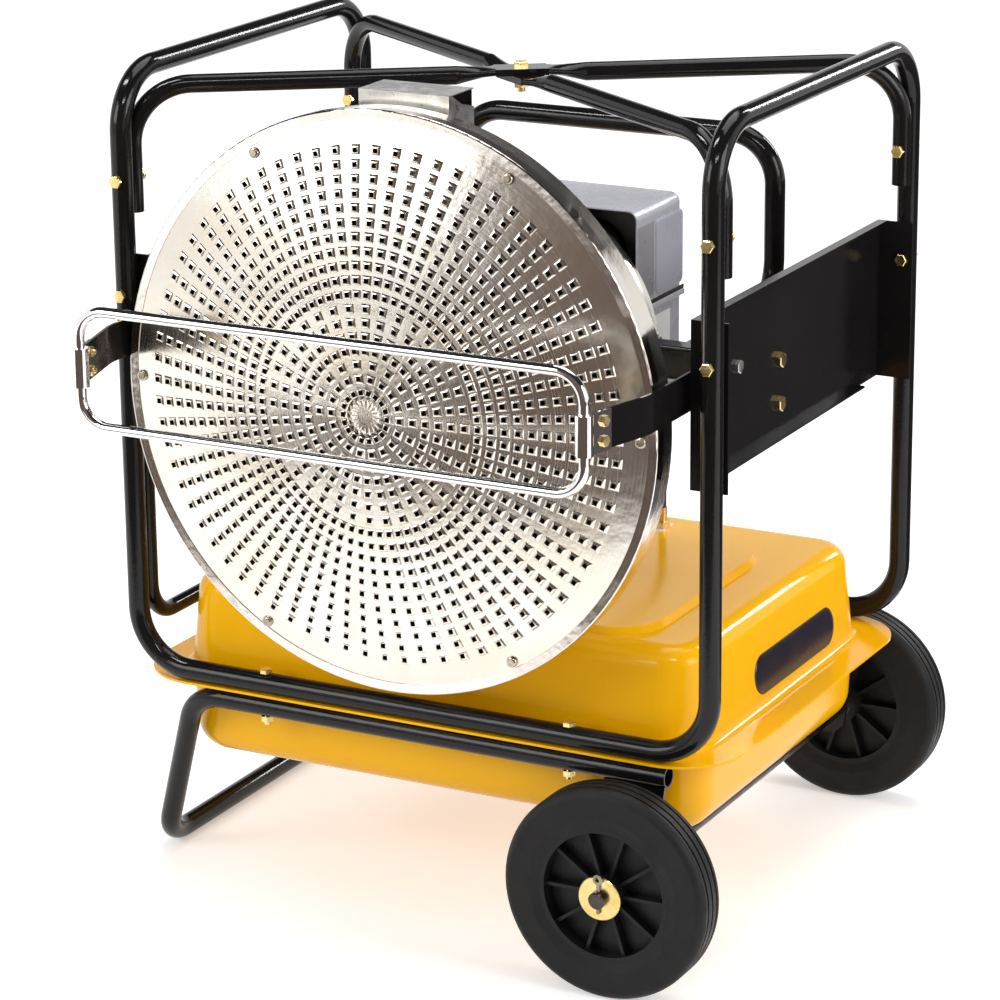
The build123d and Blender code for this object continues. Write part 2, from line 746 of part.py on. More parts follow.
with BuildPart() as tank_cover:
    with BuildSketch(Plane.XY.offset(seam_z)):
        with Locations((0, mid_y)):
            RectangleRounded(flange_width, flange_depth, flange_corner_r)
    extrude(amount=tank_sheet)
    with Locations((0, mid_y, cover_base_z)):
        add(tank_body(cover_height, cover_taper, cover_edge_r, 0, 1))
    fillet(inside_flange(tank_cover, cover_base_z), cover_flare_r)
    with Locations((0, plateau_y, cover_top_z)):
        add(plateau(0, plateau_rise))
    with BuildSketch(Plane.XY.offset(seam_z)):
        with Locations((0, mid_y)):
            RectangleRounded(
                tank_width - 2 * tank_sheet, tank_depth - 2 * tank_sheet, tank_corner_r - tank_sheet
            )
    extrude(amount=tank_sheet, mode=Mode.SUBTRACT)
    with Locations((0, mid_y, cover_base_z)):
        add(tank_body(cover_height, cover_taper, cover_edge_r, tank_sheet, 1), mode=Mode.SUBTRACT)
    with Locations((0, plateau_y, cover_top_z - 2 * tank_sheet)):
        add(plateau(2 * tank_sheet, plateau_rise + tank_sheet), mode=Mode.SUBTRACT)
    with Locations(*[(x, y, seam_z) for x, y in clamp_points]):
        Cylinder(clamp_bolt_d / 2 + bolt_clear, 6 * tank_sheet, mode=Mode.SUBTRACT)
    with Locations((neck_x, neck_y, cover_top_z)):
        Cylinder(neck_r - neck_wall, 8 * tank_sheet, mode=Mode.SUBTRACT)
    with Locations((outlet_x, neck_y, cover_top_z)):
        Cylinder(outlet_r, 8 * tank_sheet, mode=Mode.SUBTRACT)

with BuildPart() as filler_neck:
    with BuildSketch(Plane.XY.offset(cover_top_z)):
        with Locations((neck_x, neck_y)):
            Circle(neck_r + neck_foot)
            Circle(neck_r - neck_wall, mode=Mode.SUBTRACT)
    extrude(amount=neck_wall)
    with BuildSketch(Plane.XY.offset(cover_top_z)):
        with Locations((neck_x, neck_y)):
            Circle(neck_r)
            Circle(neck_r - neck_wall, mode=Mode.SUBTRACT)
    extrude(amount=neck_height)

cap_skirt = cap_height - cap_top_t
with BuildPart() as filler_cap:
    with BuildSketch(Plane.XY.offset(neck_top_z - cap_skirt)):
        with Locations((neck_x, neck_y)):
            Circle(cap_r)
            with PolarLocations(cap_r + 1.5, cap_grips):
                Circle(cap_grip_r, mode=Mode.SUBTRACT)
    extrude(amount=cap_height)
    with BuildSketch(Plane.XY.offset(neck_top_z - cap_skirt)):
        with Locations((neck_x, neck_y)):
            Circle(neck_r + run_clear)
    extrude(amount=cap_skirt + side_clear, mode=Mode.SUBTRACT)
    fillet(filler_cap.faces().sort_by(Axis.Z)[-1].edges(), 1.5)

# Tank outlet pipe and the fuel hose up to the pump
outlet_top_z = cover_top_z + outlet_height
with BuildPart() as tank_outlet:
    with BuildSketch(Plane.XY.offset(pan_low_z + outlet_lift)):
        with Locations((outlet_x, neck_y)):
            Circle(outlet_r - run_clear)
            Circle(outlet_bore_r, mode=Mode.SUBTRACT)
    extrude(amount=outlet_top_z - pan_low_z - outlet_lift)
    with BuildSketch(Plane.XY.offset(cover_top_z)):
        with Locations((outlet_x, neck_y)):
            RegularPolygon(outlet_r + 5, 6)
            Circle(outlet_bore_r, mode=Mode.SUBTRACT)
    extrude(amount=outlet_nut_h)

burner_y = at(burner_back)
pump_x = volute_half + volute_wall + pump_length / 2
hose_end_z = head_z - pump_r - 8
with BuildPart() as fuel_hose:
    add(
        bent_tube(
            [
                (outlet_x, neck_y, outlet_top_z),
                (outlet_x, neck_y, outlet_top_z + hose_rise),
                (pump_x, burner_y, hose_end_z - hose_rise - 20),
                (pump_x, burner_y, hose_end_z),
            ],
            hose_bend_r,
            hose_d,
            hose_wall,
        )
    )


# Emitter head, all turned about the head's own axis
def head_plane(back):
    """A plane through the head's axis: its x runs to the back and its y upwards."""
    return Plane(origin=(0, at(back), head_z), x_dir=(0, 1, 0), z_dir=(1, 0, 0))


head_axis = Axis((0, 0, head_z), (0, 1, 0))
screw_places = [
    (disc_screw_r * cos(2 * pi * n / disc_screws_count), disc_screw_r * sin(2 * pi * n / disc_screws_count))
    for n in range(disc_screws_count)
]
dome_r = (disc_r**2 + disc_rise**2) / (2 * disc_rise)
screw_d = 5.0
screw_head_r = 6.5
through = 60.0            # a cut that goes right through a sheet


def dome_depth(radius):
    """How far the disc's face stands ahead of its rim at this radius."""
    return disc_rise - dome_r + sqrt(dome_r**2 - radius**2)


ring_count = int((disc_r - louvre_margin - louvre_inner_r) / louvre_pitch) + 1
louvre_places = []
for ring in range(ring_count):
    ring_r = disc_r - louvre_margin - ring * louvre_pitch
    step = 1 if ring_r > louvre_half_r else 2 if ring_r > louvre_quarter_r else 4
    for column in range(0, louvre_columns, step):
        turn = 2 * pi * column / louvre_columns
        place = (ring_r * cos(turn), at(-disc_front - disc_rise / 2), head_z + ring_r * sin(turn))
        louvre_places.append(Location(place, (0, -degrees(turn), 0)))

with BuildPart() as emitter_disc:
    with BuildSketch(head_plane(-disc_front)):
        with BuildLine():
            ThreePointArc((-disc_rise, 0), (-dome_depth(disc_r / 2), disc_r / 2), (0, disc_r))
            Line((0, disc_r), (disc_t, disc_r))
            ThreePointArc(
                (disc_t, disc_r), (disc_t - dome_depth(disc_r / 2), disc_r / 2), (disc_t - disc_rise, 0)
            )
            Line((disc_t - disc_rise, 0), (-disc_rise, 0))
        make_face()
    revolve(axis=head_axis)
    with Locations(*[(x, at(-disc_front), head_z + z) for x, z in screw_places]):
        Cylinder(screw_d / 2 + run_clear * 2, through, rotation=facing_front, mode=Mode.SUBTRACT)
    with Locations(*louvre_places):
        Box(louvre_size, 2 * disc_rise, louvre_size, mode=Mode.SUBTRACT)

screw_seat = -disc_front - dome_depth(disc_screw_r - screw_head_r)
ledge_width = 24.0
with BuildPart() as drum_shell:
    with BuildSketch(head_plane(0)):
        drum_front = -disc_front + disc_t
        drum_back = -disc_front + drum_depth
        with BuildLine():
            Polyline(
                (drum_front, drum_r - ledge_width),
                (drum_front, drum_r),
                (drum_back, drum_r),
                (cone_end, chamber_r),
                (cone_end, chamber_r - drum_t),
                (drum_back - drum_t, drum_r - drum_t),
                (drum_front + drum_t, drum_r - drum_t),
                (drum_front + drum_t, drum_r - ledge_width),
                close=True,
            )
        make_face()
    revolve(axis=head_axis)
    with Locations(*[(x, at(-disc_front), head_z + z) for x, z in screw_places]):
        Cylinder(screw_d / 2 + run_clear * 2, through, rotation=facing_front, mode=Mode.SUBTRACT)
    with Locations((0, at(hood_length / 2), head_z + (drum_r + chamber_r) / 2)):
        Box(hood_width - 24, hood_length - 26, drum_r - chamber_r + through, mode=Mode.SUBTRACT)

disc_screw = round_screw(screw_d, 14, screw_head_r, 4)
with BuildPart() as disc_screws:
    with Locations(*[Location((x, at(screw_seat), head_z + z), facing_front) for x, z in screw_places]):
        add(disc_screw)

rim_inner_r = disc_r - 4
rim_seat = -dome_depth(rim_inner_r) - seat_clear
with BuildPart() as rim_ring:
    with BuildSketch(head_plane(-disc_front)):
        with BuildLine():
            Polyline(
                (rim_seat - rim_lip_t, rim_inner_r),
                (rim_seat - rim_lip_t, rim_outer_r),
                (rim_depth, rim_outer_r),
                (rim_depth, drum_r + seat_clear),
                (rim_seat, drum_r + seat_clear),
                (rim_seat, rim_inner_r),
                close=True,
            )
        make_face()
    revolve(axis=head_axis)
    fillet(rim_ring.edges().filter_by(GeomType.CIRCLE).group_by(SortBy.RADIUS)[-1].sort_by(Axis.Y)[0], 1.8)

with BuildPart() as chamber_casing:
    with BuildSketch(head_plane(0)):
        with BuildLine():
            Polyline(
                (cone_end, chamber_r),
                (chamber_end, chamber_r),
                (chamber_end, blast_tube_r + bolt_clear),
                (chamber_end - chamber_t, blast_tube_r + bolt_clear),
                (chamber_end - chamber_t, chamber_r - chamber_t),
                (cone_end, chamber_r - chamber_t),
                close=True,
            )
        make_face()
    revolve(axis=head_axis)

with BuildPart() as flame_tube:
    with BuildSketch(front_plane(0, at(chamber_end - chamber_t), head_z)):
        Circle(flame_tube_r)
        Circle(flame_tube_r - flame_tube_t, mode=Mode.SUBTRACT)
    extrude(amount=chamber_end - chamber_t - 20)

leg_start = spreader_r - 9
with BuildPart() as flame_spreader:
    with BuildSketch(head_plane(0)):
        with BuildLine():
            Polyline((-22, 0), (-6, spreader_r), (-4, spreader_r), (-20, 0), close=True)
        make_face()
    revolve(axis=head_axis)
    for turn in (90, 210, 330):
        leg = Plane(origin=(0, 0, head_z), x_dir=(cos(radians(turn)), 0, sin(radians(turn))), z_dir=(0, 1, 0))
        with BuildSketch(leg.offset(at(-6))):
            with Locations(((flame_tube_r + leg_start) / 2, 0)):
                Rectangle(flame_tube_r - leg_start, leg_w)
        extrude(amount=2)
        with BuildSketch(leg.offset(at(-6))):
            with Locations((flame_tube_r - flame_tube_t / 2, 0)):
                Rectangle(flame_tube_t, leg_w)
        extrude(amount=26)

band_y = at(band_back)
pad_x = chamber_r + band_t + arm_pad_reach
with BuildPart() as support_band:
    with BuildSketch(front_plane(0, band_y, head_z)):
        Circle(chamber_r + band_t)
        with Locations((-pad_x / 2, arm_z - head_z), (pad_x / 2, arm_z - head_z)):
            Rectangle(pad_x, arm_height)
        Circle(chamber_r, mode=Mode.SUBTRACT)
    extrude(amount=band_width / 2, both=True)

with BuildPart() as head_arms:
    for side in (-1, 1):
        with BuildSketch(Plane(origin=(side * pad_x, band_y, arm_z), z_dir=(side, 0, 0), x_dir=(0, 1, 0))):
            RectangleRounded(arm_depth, arm_height, 4)
            RectangleRounded(arm_depth - 2 * arm_wall, arm_height - 2 * arm_wall, 2, mode=Mode.SUBTRACT)
        extrude(amount=web_x - arm_plate_t - pad_x)
        plate_plane = Plane(
            origin=(side * (web_x - arm_plate_t), band_y, arm_bolt_mid_z), z_dir=(side, 0, 0), x_dir=(0, 1, 0)
        )
        with BuildSketch(plate_plane):
            RectangleRounded(arm_plate_width, arm_plate_height, 6)
        extrude(amount=arm_plate_t)
        with Locations(*[(side * (web_x - arm_plate_t / 2), band_y, z) for z in arm_bolt_zs]):
            Cylinder(arm_bolt_d / 2 + bolt_clear, arm_plate_t, rotation=(0, 90, 0), mode=Mode.SUBTRACT)

# Exhaust hood: an open box on the drum's cone, with a top plate held above it
hood_front_y = at(-hood_front)
hood_low_z = head_z + chamber_r - 5
with BuildPart() as exhaust_hood:
    with BuildSketch(Plane.XY.offset(hood_low_z)):
        with Locations((0, hood_front_y + hood_length / 2)):
            Rectangle(hood_width, hood_length)
            Rectangle(hood_width - 2 * hood_t, hood_length - 2 * hood_t, mode=Mode.SUBTRACT)
    extrude(amount=hood_top_z - hood_low_z)
    with BuildSketch(Plane.XY.offset(hood_top_z)):
        with Locations((0, hood_front_y + hood_length / 2)):
            Rectangle(hood_width, hood_length)
    extrude(amount=hood_t)
    for side in (-1, 1):
        with BuildSketch(Plane(origin=(side * hood_width / 2, 0, 0), z_dir=(side, 0, 0), x_dir=(0, 1, 0))):
            with BuildLine():
                Polyline(
                    (hood_front_y + 8, hood_top_z),
                    (hood_front_y + hood_length + 2, hood_top_z),
                    (hood_front_y + hood_length + 2, hood_top_z - hood_gap - 8),
                    (hood_front_y + hood_length / 2, hood_top_z - hood_gap),
                    close=True,
                )
            make_face()
        extrude(amount=2 * hood_t, both=True, mode=Mode.SUBTRACT)
    with BuildSketch(head_plane(0)):
        with BuildLine():
            Polyline(
                (-disc_front - 30, 0),
                (-disc_front - 30, drum_r),
                (-disc_front + drum_depth, drum_r),
                (cone_end, chamber_r),
                (cone_end + 40, chamber_r),
                (cone_end + 40, 0),
                close=True,
            )
        make_face()
    revolve(axis=head_axis, mode=Mode.SUBTRACT)

# Hand guard: a rod loop, clamps on its ends and flat arms back to the side plates
guard_y = front_y - guard_reach
with BuildPart() as guard_loop:
    with BuildLine() as guard_route:
        FilletPolyline(
            (guard_half_width, guard_y, guard_z + guard_half_height),
            (-guard_half_width, guard_y, guard_z + guard_half_height),
            (-guard_half_width, guard_y, guard_z - guard_half_height),
            (guard_half_width, guard_y, guard_z - guard_half_height),
            radius=guard_bend_r,
            close=True,
        )
    with BuildSketch(Plane(origin=guard_route.line @ 0, z_dir=guard_route.line % 0)):
        Circle(guard_rod_d / 2)
    sweep()

arm_line_x = web_x - guard_arm_t / 2
arm_bend_y = at(-guard_arm_bend)
arm_run = Vector(guard_half_width - arm_line_x, guard_y - arm_bend_y, 0)
arm_back = arm_run * (-1 / arm_run.length)
clamp_plane = Plane(origin=(guard_half_width, guard_y, guard_z), x_dir=arm_back, z_dir=(0, 0, 1))
arm_tip = 14.0            # arm's end from the rod's axis
screw_back = 27.0         # screws from the rod's axis
arm_tip_point = Vector(guard_half_width, guard_y, 0) + arm_back * arm_tip
screw_zs = [s * guard_screw_pitch / 2 for s in (-1, 1)]
across_arm = Vector(0, 0, 1).cross(arm_back)

with BuildPart() as guard_arm_right:
    with BuildSketch(Plane.XY.offset(guard_z - guard_arm_height / 2)):
        with BuildLine():
            FilletPolyline(
                (arm_line_x, at(guard_arm_end)),
                (arm_line_x, arm_bend_y),
                (arm_tip_point.X, arm_tip_point.Y),
                radius=80,
            )
        trace(line_width=guard_arm_t)
    extrude(amount=guard_arm_height)
    with Locations(*[(web_x, at(back), guard_z) for back in guard_bolt_backs]):
        Cylinder(guard_bolt_d / 2 + bolt_clear, 4 * lip, rotation=(0, 90, 0), mode=Mode.SUBTRACT)
    for z in screw_zs:
        hole_at = clamp_plane.from_local_coords(Vector(screw_back, 0, z))
        with BuildSketch(Plane(origin=hole_at, z_dir=across_arm)):
            Circle(guard_screw_d / 2 + bolt_clear)
        extrude(amount=3 * guard_arm_t, both=True, mode=Mode.SUBTRACT)

with BuildPart() as guard_arm_left:
    mirror(guard_arm_right.part, about=Plane.YZ)

tongue_sign = 1 if across_arm.X > 0 else -1
with BuildPart() as right_clamp:
    with BuildSketch(clamp_plane.offset(-clamp_sleeve_length / 2)):
        Circle(clamp_sleeve_r)
        with Locations((22, tongue_sign * (guard_arm_t + tongue_t) / 2)):
            Rectangle(34, tongue_t)
        Circle(guard_rod_d / 2, mode=Mode.SUBTRACT)
    extrude(amount=clamp_sleeve_length)
    for z in screw_zs:
        hole_at = clamp_plane.from_local_coords(Vector(screw_back, 0, z))
        with BuildSketch(Plane(origin=hole_at, z_dir=across_arm)):
            Circle(guard_screw_d / 2 + bolt_clear)
        extrude(amount=3 * guard_arm_t, both=True, mode=Mode.SUBTRACT)

with BuildPart() as guard_clamps:
    add(right_clamp.part)
    mirror(right_clamp.part, about=Plane.YZ)

guard_screw = hex_bolt(guard_screw_d, guard_arm_t + tongue_t)
with BuildPart() as right_guard_screws:
    for z in screw_zs:
        seat = tongue_sign * (guard_arm_t / 2 + tongue_t)
        seat_at = clamp_plane.from_local_coords(Vector(screw_back, seat, z))
        outward = across_arm * tongue_sign
        with Locations(Plane(origin=seat_at, z_dir=outward).location):
            add(guard_screw)

with BuildPart() as guard_screws:
    add(right_guard_screws.part)
    mirror(right_guard_screws.part, about=Plane.YZ)

# Rear hoop: from the head arms back, up and over behind the burner
hoop_start_y = band_y + arm_depth / 2
hoop_y = at(hoop_back)
with BuildPart() as rear_hoop:
    add(
        bent_tube(
            [
                (hoop_half_width, hoop_start_y, arm_z),
                (hoop_half_width, hoop_y, arm_z),
                (hoop_half_width, hoop_y, hoop_top_z),
                (-hoop_half_width, hoop_y, hoop_top_z),
                (-hoop_half_width, hoop_y, arm_z),
                (-hoop_half_width, hoop_start_y, arm_z),
            ],
            hoop_bend_r,
            tube_d,
            tube_wall,
        )
    )

# Burner case: lower box, equipment tray and upper cover
case_width = 2 * case_half_width
case_depth = case_rear - case_front
case_mid_y = at((case_front + case_rear) / 2)
switch_x = 76.0
switch_w = 30.0
switch_h = 22.0
panel_z = (case_seam_z + case_high_z) / 2 + 6
reset_x = 120.0
reset_r = 8.0
gland_x = -100.0
gland_z = case_low_z + 40
gland_hole_r = 8.0
panel_cut = 40.0          # the control openings, through the rear wall alone
gland_bore_r = 4.5

with BuildPart() as burner_cover_lower:
    with BuildSketch(Plane.XY.offset(case_low_z)):
        with Locations((0, case_mid_y)):
            Rectangle(case_width, case_depth)
    extrude(amount=case_seam_z - tray_t - case_low_z)
    fillet(burner_cover_lower.edges().filter_by(Axis.Z).sort_by(Axis.Y)[-2:], case_edge_r)
    top_face = burner_cover_lower.faces().sort_by(Axis.Z)[-1]
    front_face = burner_cover_lower.faces().sort_by(Axis.Y)[0]
    offset(amount=-case_sheet, openings=[top_face, front_face])
    with Locations((pump_x, burner_y, case_low_z)):
        Cylinder(hose_d / 2 + 2, 6 * case_sheet, mode=Mode.SUBTRACT)
    with Locations((gland_x, at(case_rear), gland_z)):
        Cylinder(gland_hole_r, 6 * case_sheet, rotation=facing_front, mode=Mode.SUBTRACT)

volute_chord = sqrt(volute_r**2 - (case_seam_z - tray_t - head_z) ** 2)
tray_clear = 1.0
cut_width = 2 * (volute_half + volute_wall + tray_clear)
cut_rear = burner_y + volute_chord + tray_clear
with BuildPart() as equipment_tray:
    with BuildSketch(Plane.XY.offset(case_seam_z - tray_t)):
        with Locations((0, case_mid_y)):
            Rectangle(case_width - 2 * tray_recess, case_depth - 2 * tray_recess)
        with Locations((0, (at(case_front) + cut_rear) / 2)):
            Rectangle(cut_width, cut_rear - at(case_front), mode=Mode.SUBTRACT)
    extrude(amount=tray_t)

with BuildPart() as burner_cover_upper:
    with BuildSketch(Plane.XY.offset(case_seam_z)):
        with Locations((0, case_mid_y)):
            Rectangle(case_width, case_depth)
    extrude(amount=case_high_z - case_seam_z)
    fillet(burner_cover_upper.edges().filter_by(Axis.Z).sort_by(Axis.Y)[-2:], case_edge_r)
    fillet(burner_cover_upper.faces().sort_by(Axis.Z)[-1].edges().sort_by(Axis.Y)[1:], case_top_r)
    bottom_face = burner_cover_upper.faces().sort_by(Axis.Z)[0]
    front_face = burner_cover_upper.faces().sort_by(Axis.Y)[0]
    offset(amount=-case_sheet, openings=[bottom_face, front_face])
    with Locations((reset_x, at(case_rear), panel_z)):
        Cylinder(reset_r + side_clear, panel_cut, rotation=facing_front, mode=Mode.SUBTRACT)
    with Locations((switch_x, at(case_rear), panel_z)):
        Box(switch_w + 2 * side_clear, panel_cut, switch_h + 2 * side_clear, mode=Mode.SUBTRACT)

# Air intake in the upper cover's front: a black panel with a ring grille
panel_back = 300.0
panel_right = case_half_width - case_sheet
panel_left = 24.0
panel_low_z = case_seam_z
panel_high_z = case_high_z - case_sheet
with BuildPart() as air_intake:
    with BuildSketch(front_plane(0, at(panel_back), 0)) as panel:
        with Locations(((panel_left + panel_right) / 2, (panel_low_z + panel_high_z) / 2)):
            Rectangle(panel_right - panel_left, panel_high_z - panel_low_z)
        fillet(panel.vertices().group_by(Axis.Y)[-1].sort_by(Axis.X)[-1], case_top_r)
        with Locations((intake_x, intake_z)):
            Circle(intake_r, mode=Mode.SUBTRACT)
            for ring in (32, 22, 12):
                Circle(ring)
                Circle(ring - 3, mode=Mode.SUBTRACT)
            Rectangle(2 * intake_r + 4, 3)
            Rectangle(3, 2 * intake_r + 4)
    extrude(amount=-4)

# Burner: fan housing with blast tube, motor, pump and what they turn
with BuildPart() as burner_body:
    with Locations((0, burner_y, head_z)):
        Cylinder(volute_r, 2 * (volute_half + volute_wall), rotation=(0, 90, 0))
    with BuildSketch(front_plane(0, burner_y, head_z)):
        Circle(volute_half + volute_wall - 1)
    extrude(amount=burner_back - chamber_end)
    with BuildSketch(front_plane(0, at(chamber_end + burner_flange_t), head_z)):
        Circle(blast_tube_r)
    extrude(amount=chamber_end + burner_flange_t - blast_tube_front)
    with BuildSketch(front_plane(0, at(chamber_end + burner_flange_t), head_z)):
        Circle(burner_flange_r)
    extrude(amount=burner_flange_t)
    with Locations((0, burner_y, head_z)):
        Cylinder(volute_r - volute_wall, 2 * volute_half, rotation=(0, 90, 0), mode=Mode.SUBTRACT)
        Cylinder(motor_shaft_d / 2 + run_clear, 4 * volute_half, rotation=(0, 90, 0), mode=Mode.SUBTRACT)
    with BuildSketch(front_plane(0, burner_y, head_z)):
        Circle(volute_half - 2)
    extrude(amount=burner_back - blast_tube_front, mode=Mode.SUBTRACT)
    with BuildSketch(front_plane(0, at(chamber_end), head_z)):
        Circle(blast_tube_r - blast_tube_t)
    extrude(amount=chamber_end - blast_tube_front, mode=Mode.SUBTRACT)
    sight_y = burner_y - 36
    sight_z = head_z + 32
    with Locations((volute_half + volute_wall / 2, sight_y, sight_z)):
        Cylinder(6, 3 * volute_wall, rotation=(0, 90, 0), mode=Mode.SUBTRACT)

wall_x = volute_half + volute_wall
with BuildPart() as photocell:
    with BuildSketch(Plane(origin=(wall_x, sight_y, sight_z), z_dir=(1, 0, 0))):
        Circle(9)
    extrude(amount=14)
    with BuildSketch(Plane(origin=(wall_x, sight_y, sight_z), z_dir=(-1, 0, 0))):
        Circle(6 - run_clear)
    extrude(amount=volute_wall)

with BuildPart() as burner_motor:
    with BuildSketch(Plane(origin=(-wall_x, burner_y, head_z), z_dir=(-1, 0, 0))):
        Circle(motor_r)
        Circle(motor_shaft_d / 2 + run_clear, mode=Mode.SUBTRACT)
    extrude(amount=motor_length)
    with BuildSketch(Plane(origin=(-wall_x - motor_length, burner_y, head_z), z_dir=(-1, 0, 0))):
        Circle(motor_r - motor_step)
        Circle(motor_shaft_d / 2 + run_clear, mode=Mode.SUBTRACT)
    extrude(amount=10)

with BuildPart() as fuel_pump:
    with BuildSketch(Plane(origin=(wall_x, burner_y, head_z), z_dir=(1, 0, 0))):
        Circle(pump_r)
        Circle(motor_shaft_d / 2 + run_clear, mode=Mode.SUBTRACT)
    extrude(amount=pump_length)
    with BuildSketch(Plane(origin=(pump_x, burner_y, head_z - pump_r + 3), z_dir=(0, 0, -1))):
        Circle(hose_d / 2 + 3)
        Circle(hose_d / 2 - 2, mode=Mode.SUBTRACT)
    extrude(amount=11)

shaft_left = -wall_x - motor_length + 6
shaft_right = wall_x + pump_length - 6
with BuildPart() as motor_shaft:
    with BuildSketch(Plane(origin=(shaft_left, burner_y, head_z), z_dir=(1, 0, 0))):
        Circle(motor_shaft_d / 2)
    extrude(amount=shaft_right - shaft_left)

with BuildPart() as fan_wheel:
    fan_left = Plane(origin=(-fan_width / 2, burner_y, head_z), z_dir=(1, 0, 0))
    with BuildSketch(fan_left):
        Circle(fan_r)
        Circle(motor_shaft_d / 2, mode=Mode.SUBTRACT)
    extrude(amount=2)
    with BuildSketch(fan_left):
        Circle(motor_shaft_d / 2 + 5)
        Circle(motor_shaft_d / 2, mode=Mode.SUBTRACT)
    extrude(amount=fan_width / 2)
    with BuildSketch(fan_left):
        with PolarLocations(fan_r - 7, fan_blades):
            Rectangle(13, 1.2, rotation=30)
    extrude(amount=fan_width)
    with BuildSketch(fan_left.offset(fan_width - 2)):
        Circle(fan_r)
        Circle(fan_r - 12, mode=Mode.SUBTRACT)
    extrude(amount=2)

# Nozzle line with its three-legged holder inside the blast tube, and the two electrodes
nozzle_back = 270.0
nozzle_tip = 208.0
holder_back = 232.0
with BuildPart() as nozzle_line:
    with BuildSketch(front_plane(0, at(nozzle_back), head_z)):
        Circle(6)
    extrude(amount=nozzle_back - nozzle_tip - 14)
    with BuildSketch(front_plane(0, at(nozzle_tip + 14), head_z)):
        RegularPolygon(8, 6)
    extrude(amount=14, taper=8)
    with BuildSketch(front_plane(0, at(holder_back), head_z)):
        Circle(22)
        with PolarLocations(0, 3, start_angle=90):
            with Locations((blast_tube_r / 2, 0)):
                Rectangle(blast_tube_r - 2 * blast_tube_t, 6)
        Circle(blast_tube_r - blast_tube_t - run_clear, mode=Mode.INTERSECT)
        with Locations((-14, 0), (14, 0)):
            Circle(4 + run_clear, mode=Mode.SUBTRACT)
    extrude(amount=3)

with BuildPart() as ignition_electrodes:
    for x in (-14, 14):
        with BuildSketch(front_plane(x, at(holder_back + 26), head_z)):
            Circle(4)
        extrude(amount=40)
        with BuildSketch(front_plane(x, at(holder_back - 14), head_z)):
            Circle(1.3)
        extrude(amount=18)

# Electrical parts on the tray
transformer_x = -98.0
transformer_size = (72.0, 62.0, 66.0)
with BuildPart() as ignition_transformer:
    with Locations((transformer_x, case_mid_y, case_seam_z)):
        Box(*transformer_size, align=(Align.CENTER, Align.CENTER, Align.MIN))
    fillet(ignition_transformer.edges().filter_by(Axis.Z), 5)

control_rear = case_rear - 8
control_depth = 44.0
control_x = 96.0
control_w = 90.0
control_h = 92.0
reset_depth = 14.0        # the sockets in the control box
switch_socket = 16.0
with BuildPart() as control_box:
    with Locations((control_x, at(control_rear), case_seam_z)):
        Box(control_w, control_depth, control_h, align=(Align.CENTER, Align.MAX, Align.MIN))
    fillet(control_box.edges().filter_by(Axis.Z), 4)
    with Locations((reset_x, at(control_rear), panel_z)):
        Cylinder(reset_r + side_clear, 2 * reset_depth, rotation=facing_front, mode=Mode.SUBTRACT)
    with Locations((switch_x, at(control_rear), panel_z)):
        Box(switch_w + 2 * side_clear, 2 * switch_socket, switch_h + 2 * side_clear, mode=Mode.SUBTRACT)

reset_travel = 2.5
reset_length = 26.0
reset_start = control_rear - reset_depth + reset_travel + side_clear
with BuildPart() as reset_button:
    with BuildSketch(Plane(origin=(reset_x, at(reset_start), panel_z), z_dir=(0, 1, 0))):
        Circle(reset_r)
    extrude(amount=reset_length - reset_travel - side_clear)
    chamfer(reset_button.edges().sort_by(Axis.Y)[-1], 1)

switch_depth = 12.0
rocker_r = switch_w / 2 - 2.5
with BuildPart() as power_switch:
    with BuildSketch(Plane(origin=(switch_x, at(control_rear), panel_z - switch_h / 2), z_dir=(0, 0, 1))):
        with BuildLine():
            Polyline(
                (-rocker_r, 9.2), (-rocker_r, 2), (0, 2 - switch_depth), (rocker_r, 2), (rocker_r, 12.5)
            )
            ThreePointArc((rocker_r, 12.5), (0, 8.5), (-rocker_r, 9.2))
        make_face()
    extrude(amount=switch_h)

with BuildPart() as cord_gland:
    with BuildSketch(Plane(origin=(gland_x, at(case_rear), gland_z), z_dir=(0, 1, 0))):
        RegularPolygon(12, 6, major_radius=False)
        Circle(gland_bore_r, mode=Mode.SUBTRACT)
    extrude(amount=7)
    with BuildSketch(Plane(origin=(gland_x, at(case_rear), gland_z), z_dir=(0, 1, 0))):
        Circle(2 * gland_bore_r)
        Circle(gland_bore_r, mode=Mode.SUBTRACT)
    extrude(amount=18)
    with BuildSketch(Plane(origin=(gland_x, at(case_rear), gland_z), z_dir=(0, -1, 0))):
        Circle(gland_hole_r - run_clear)
        Circle(gland_bore_r, mode=Mode.SUBTRACT)
    extrude(amount=8)

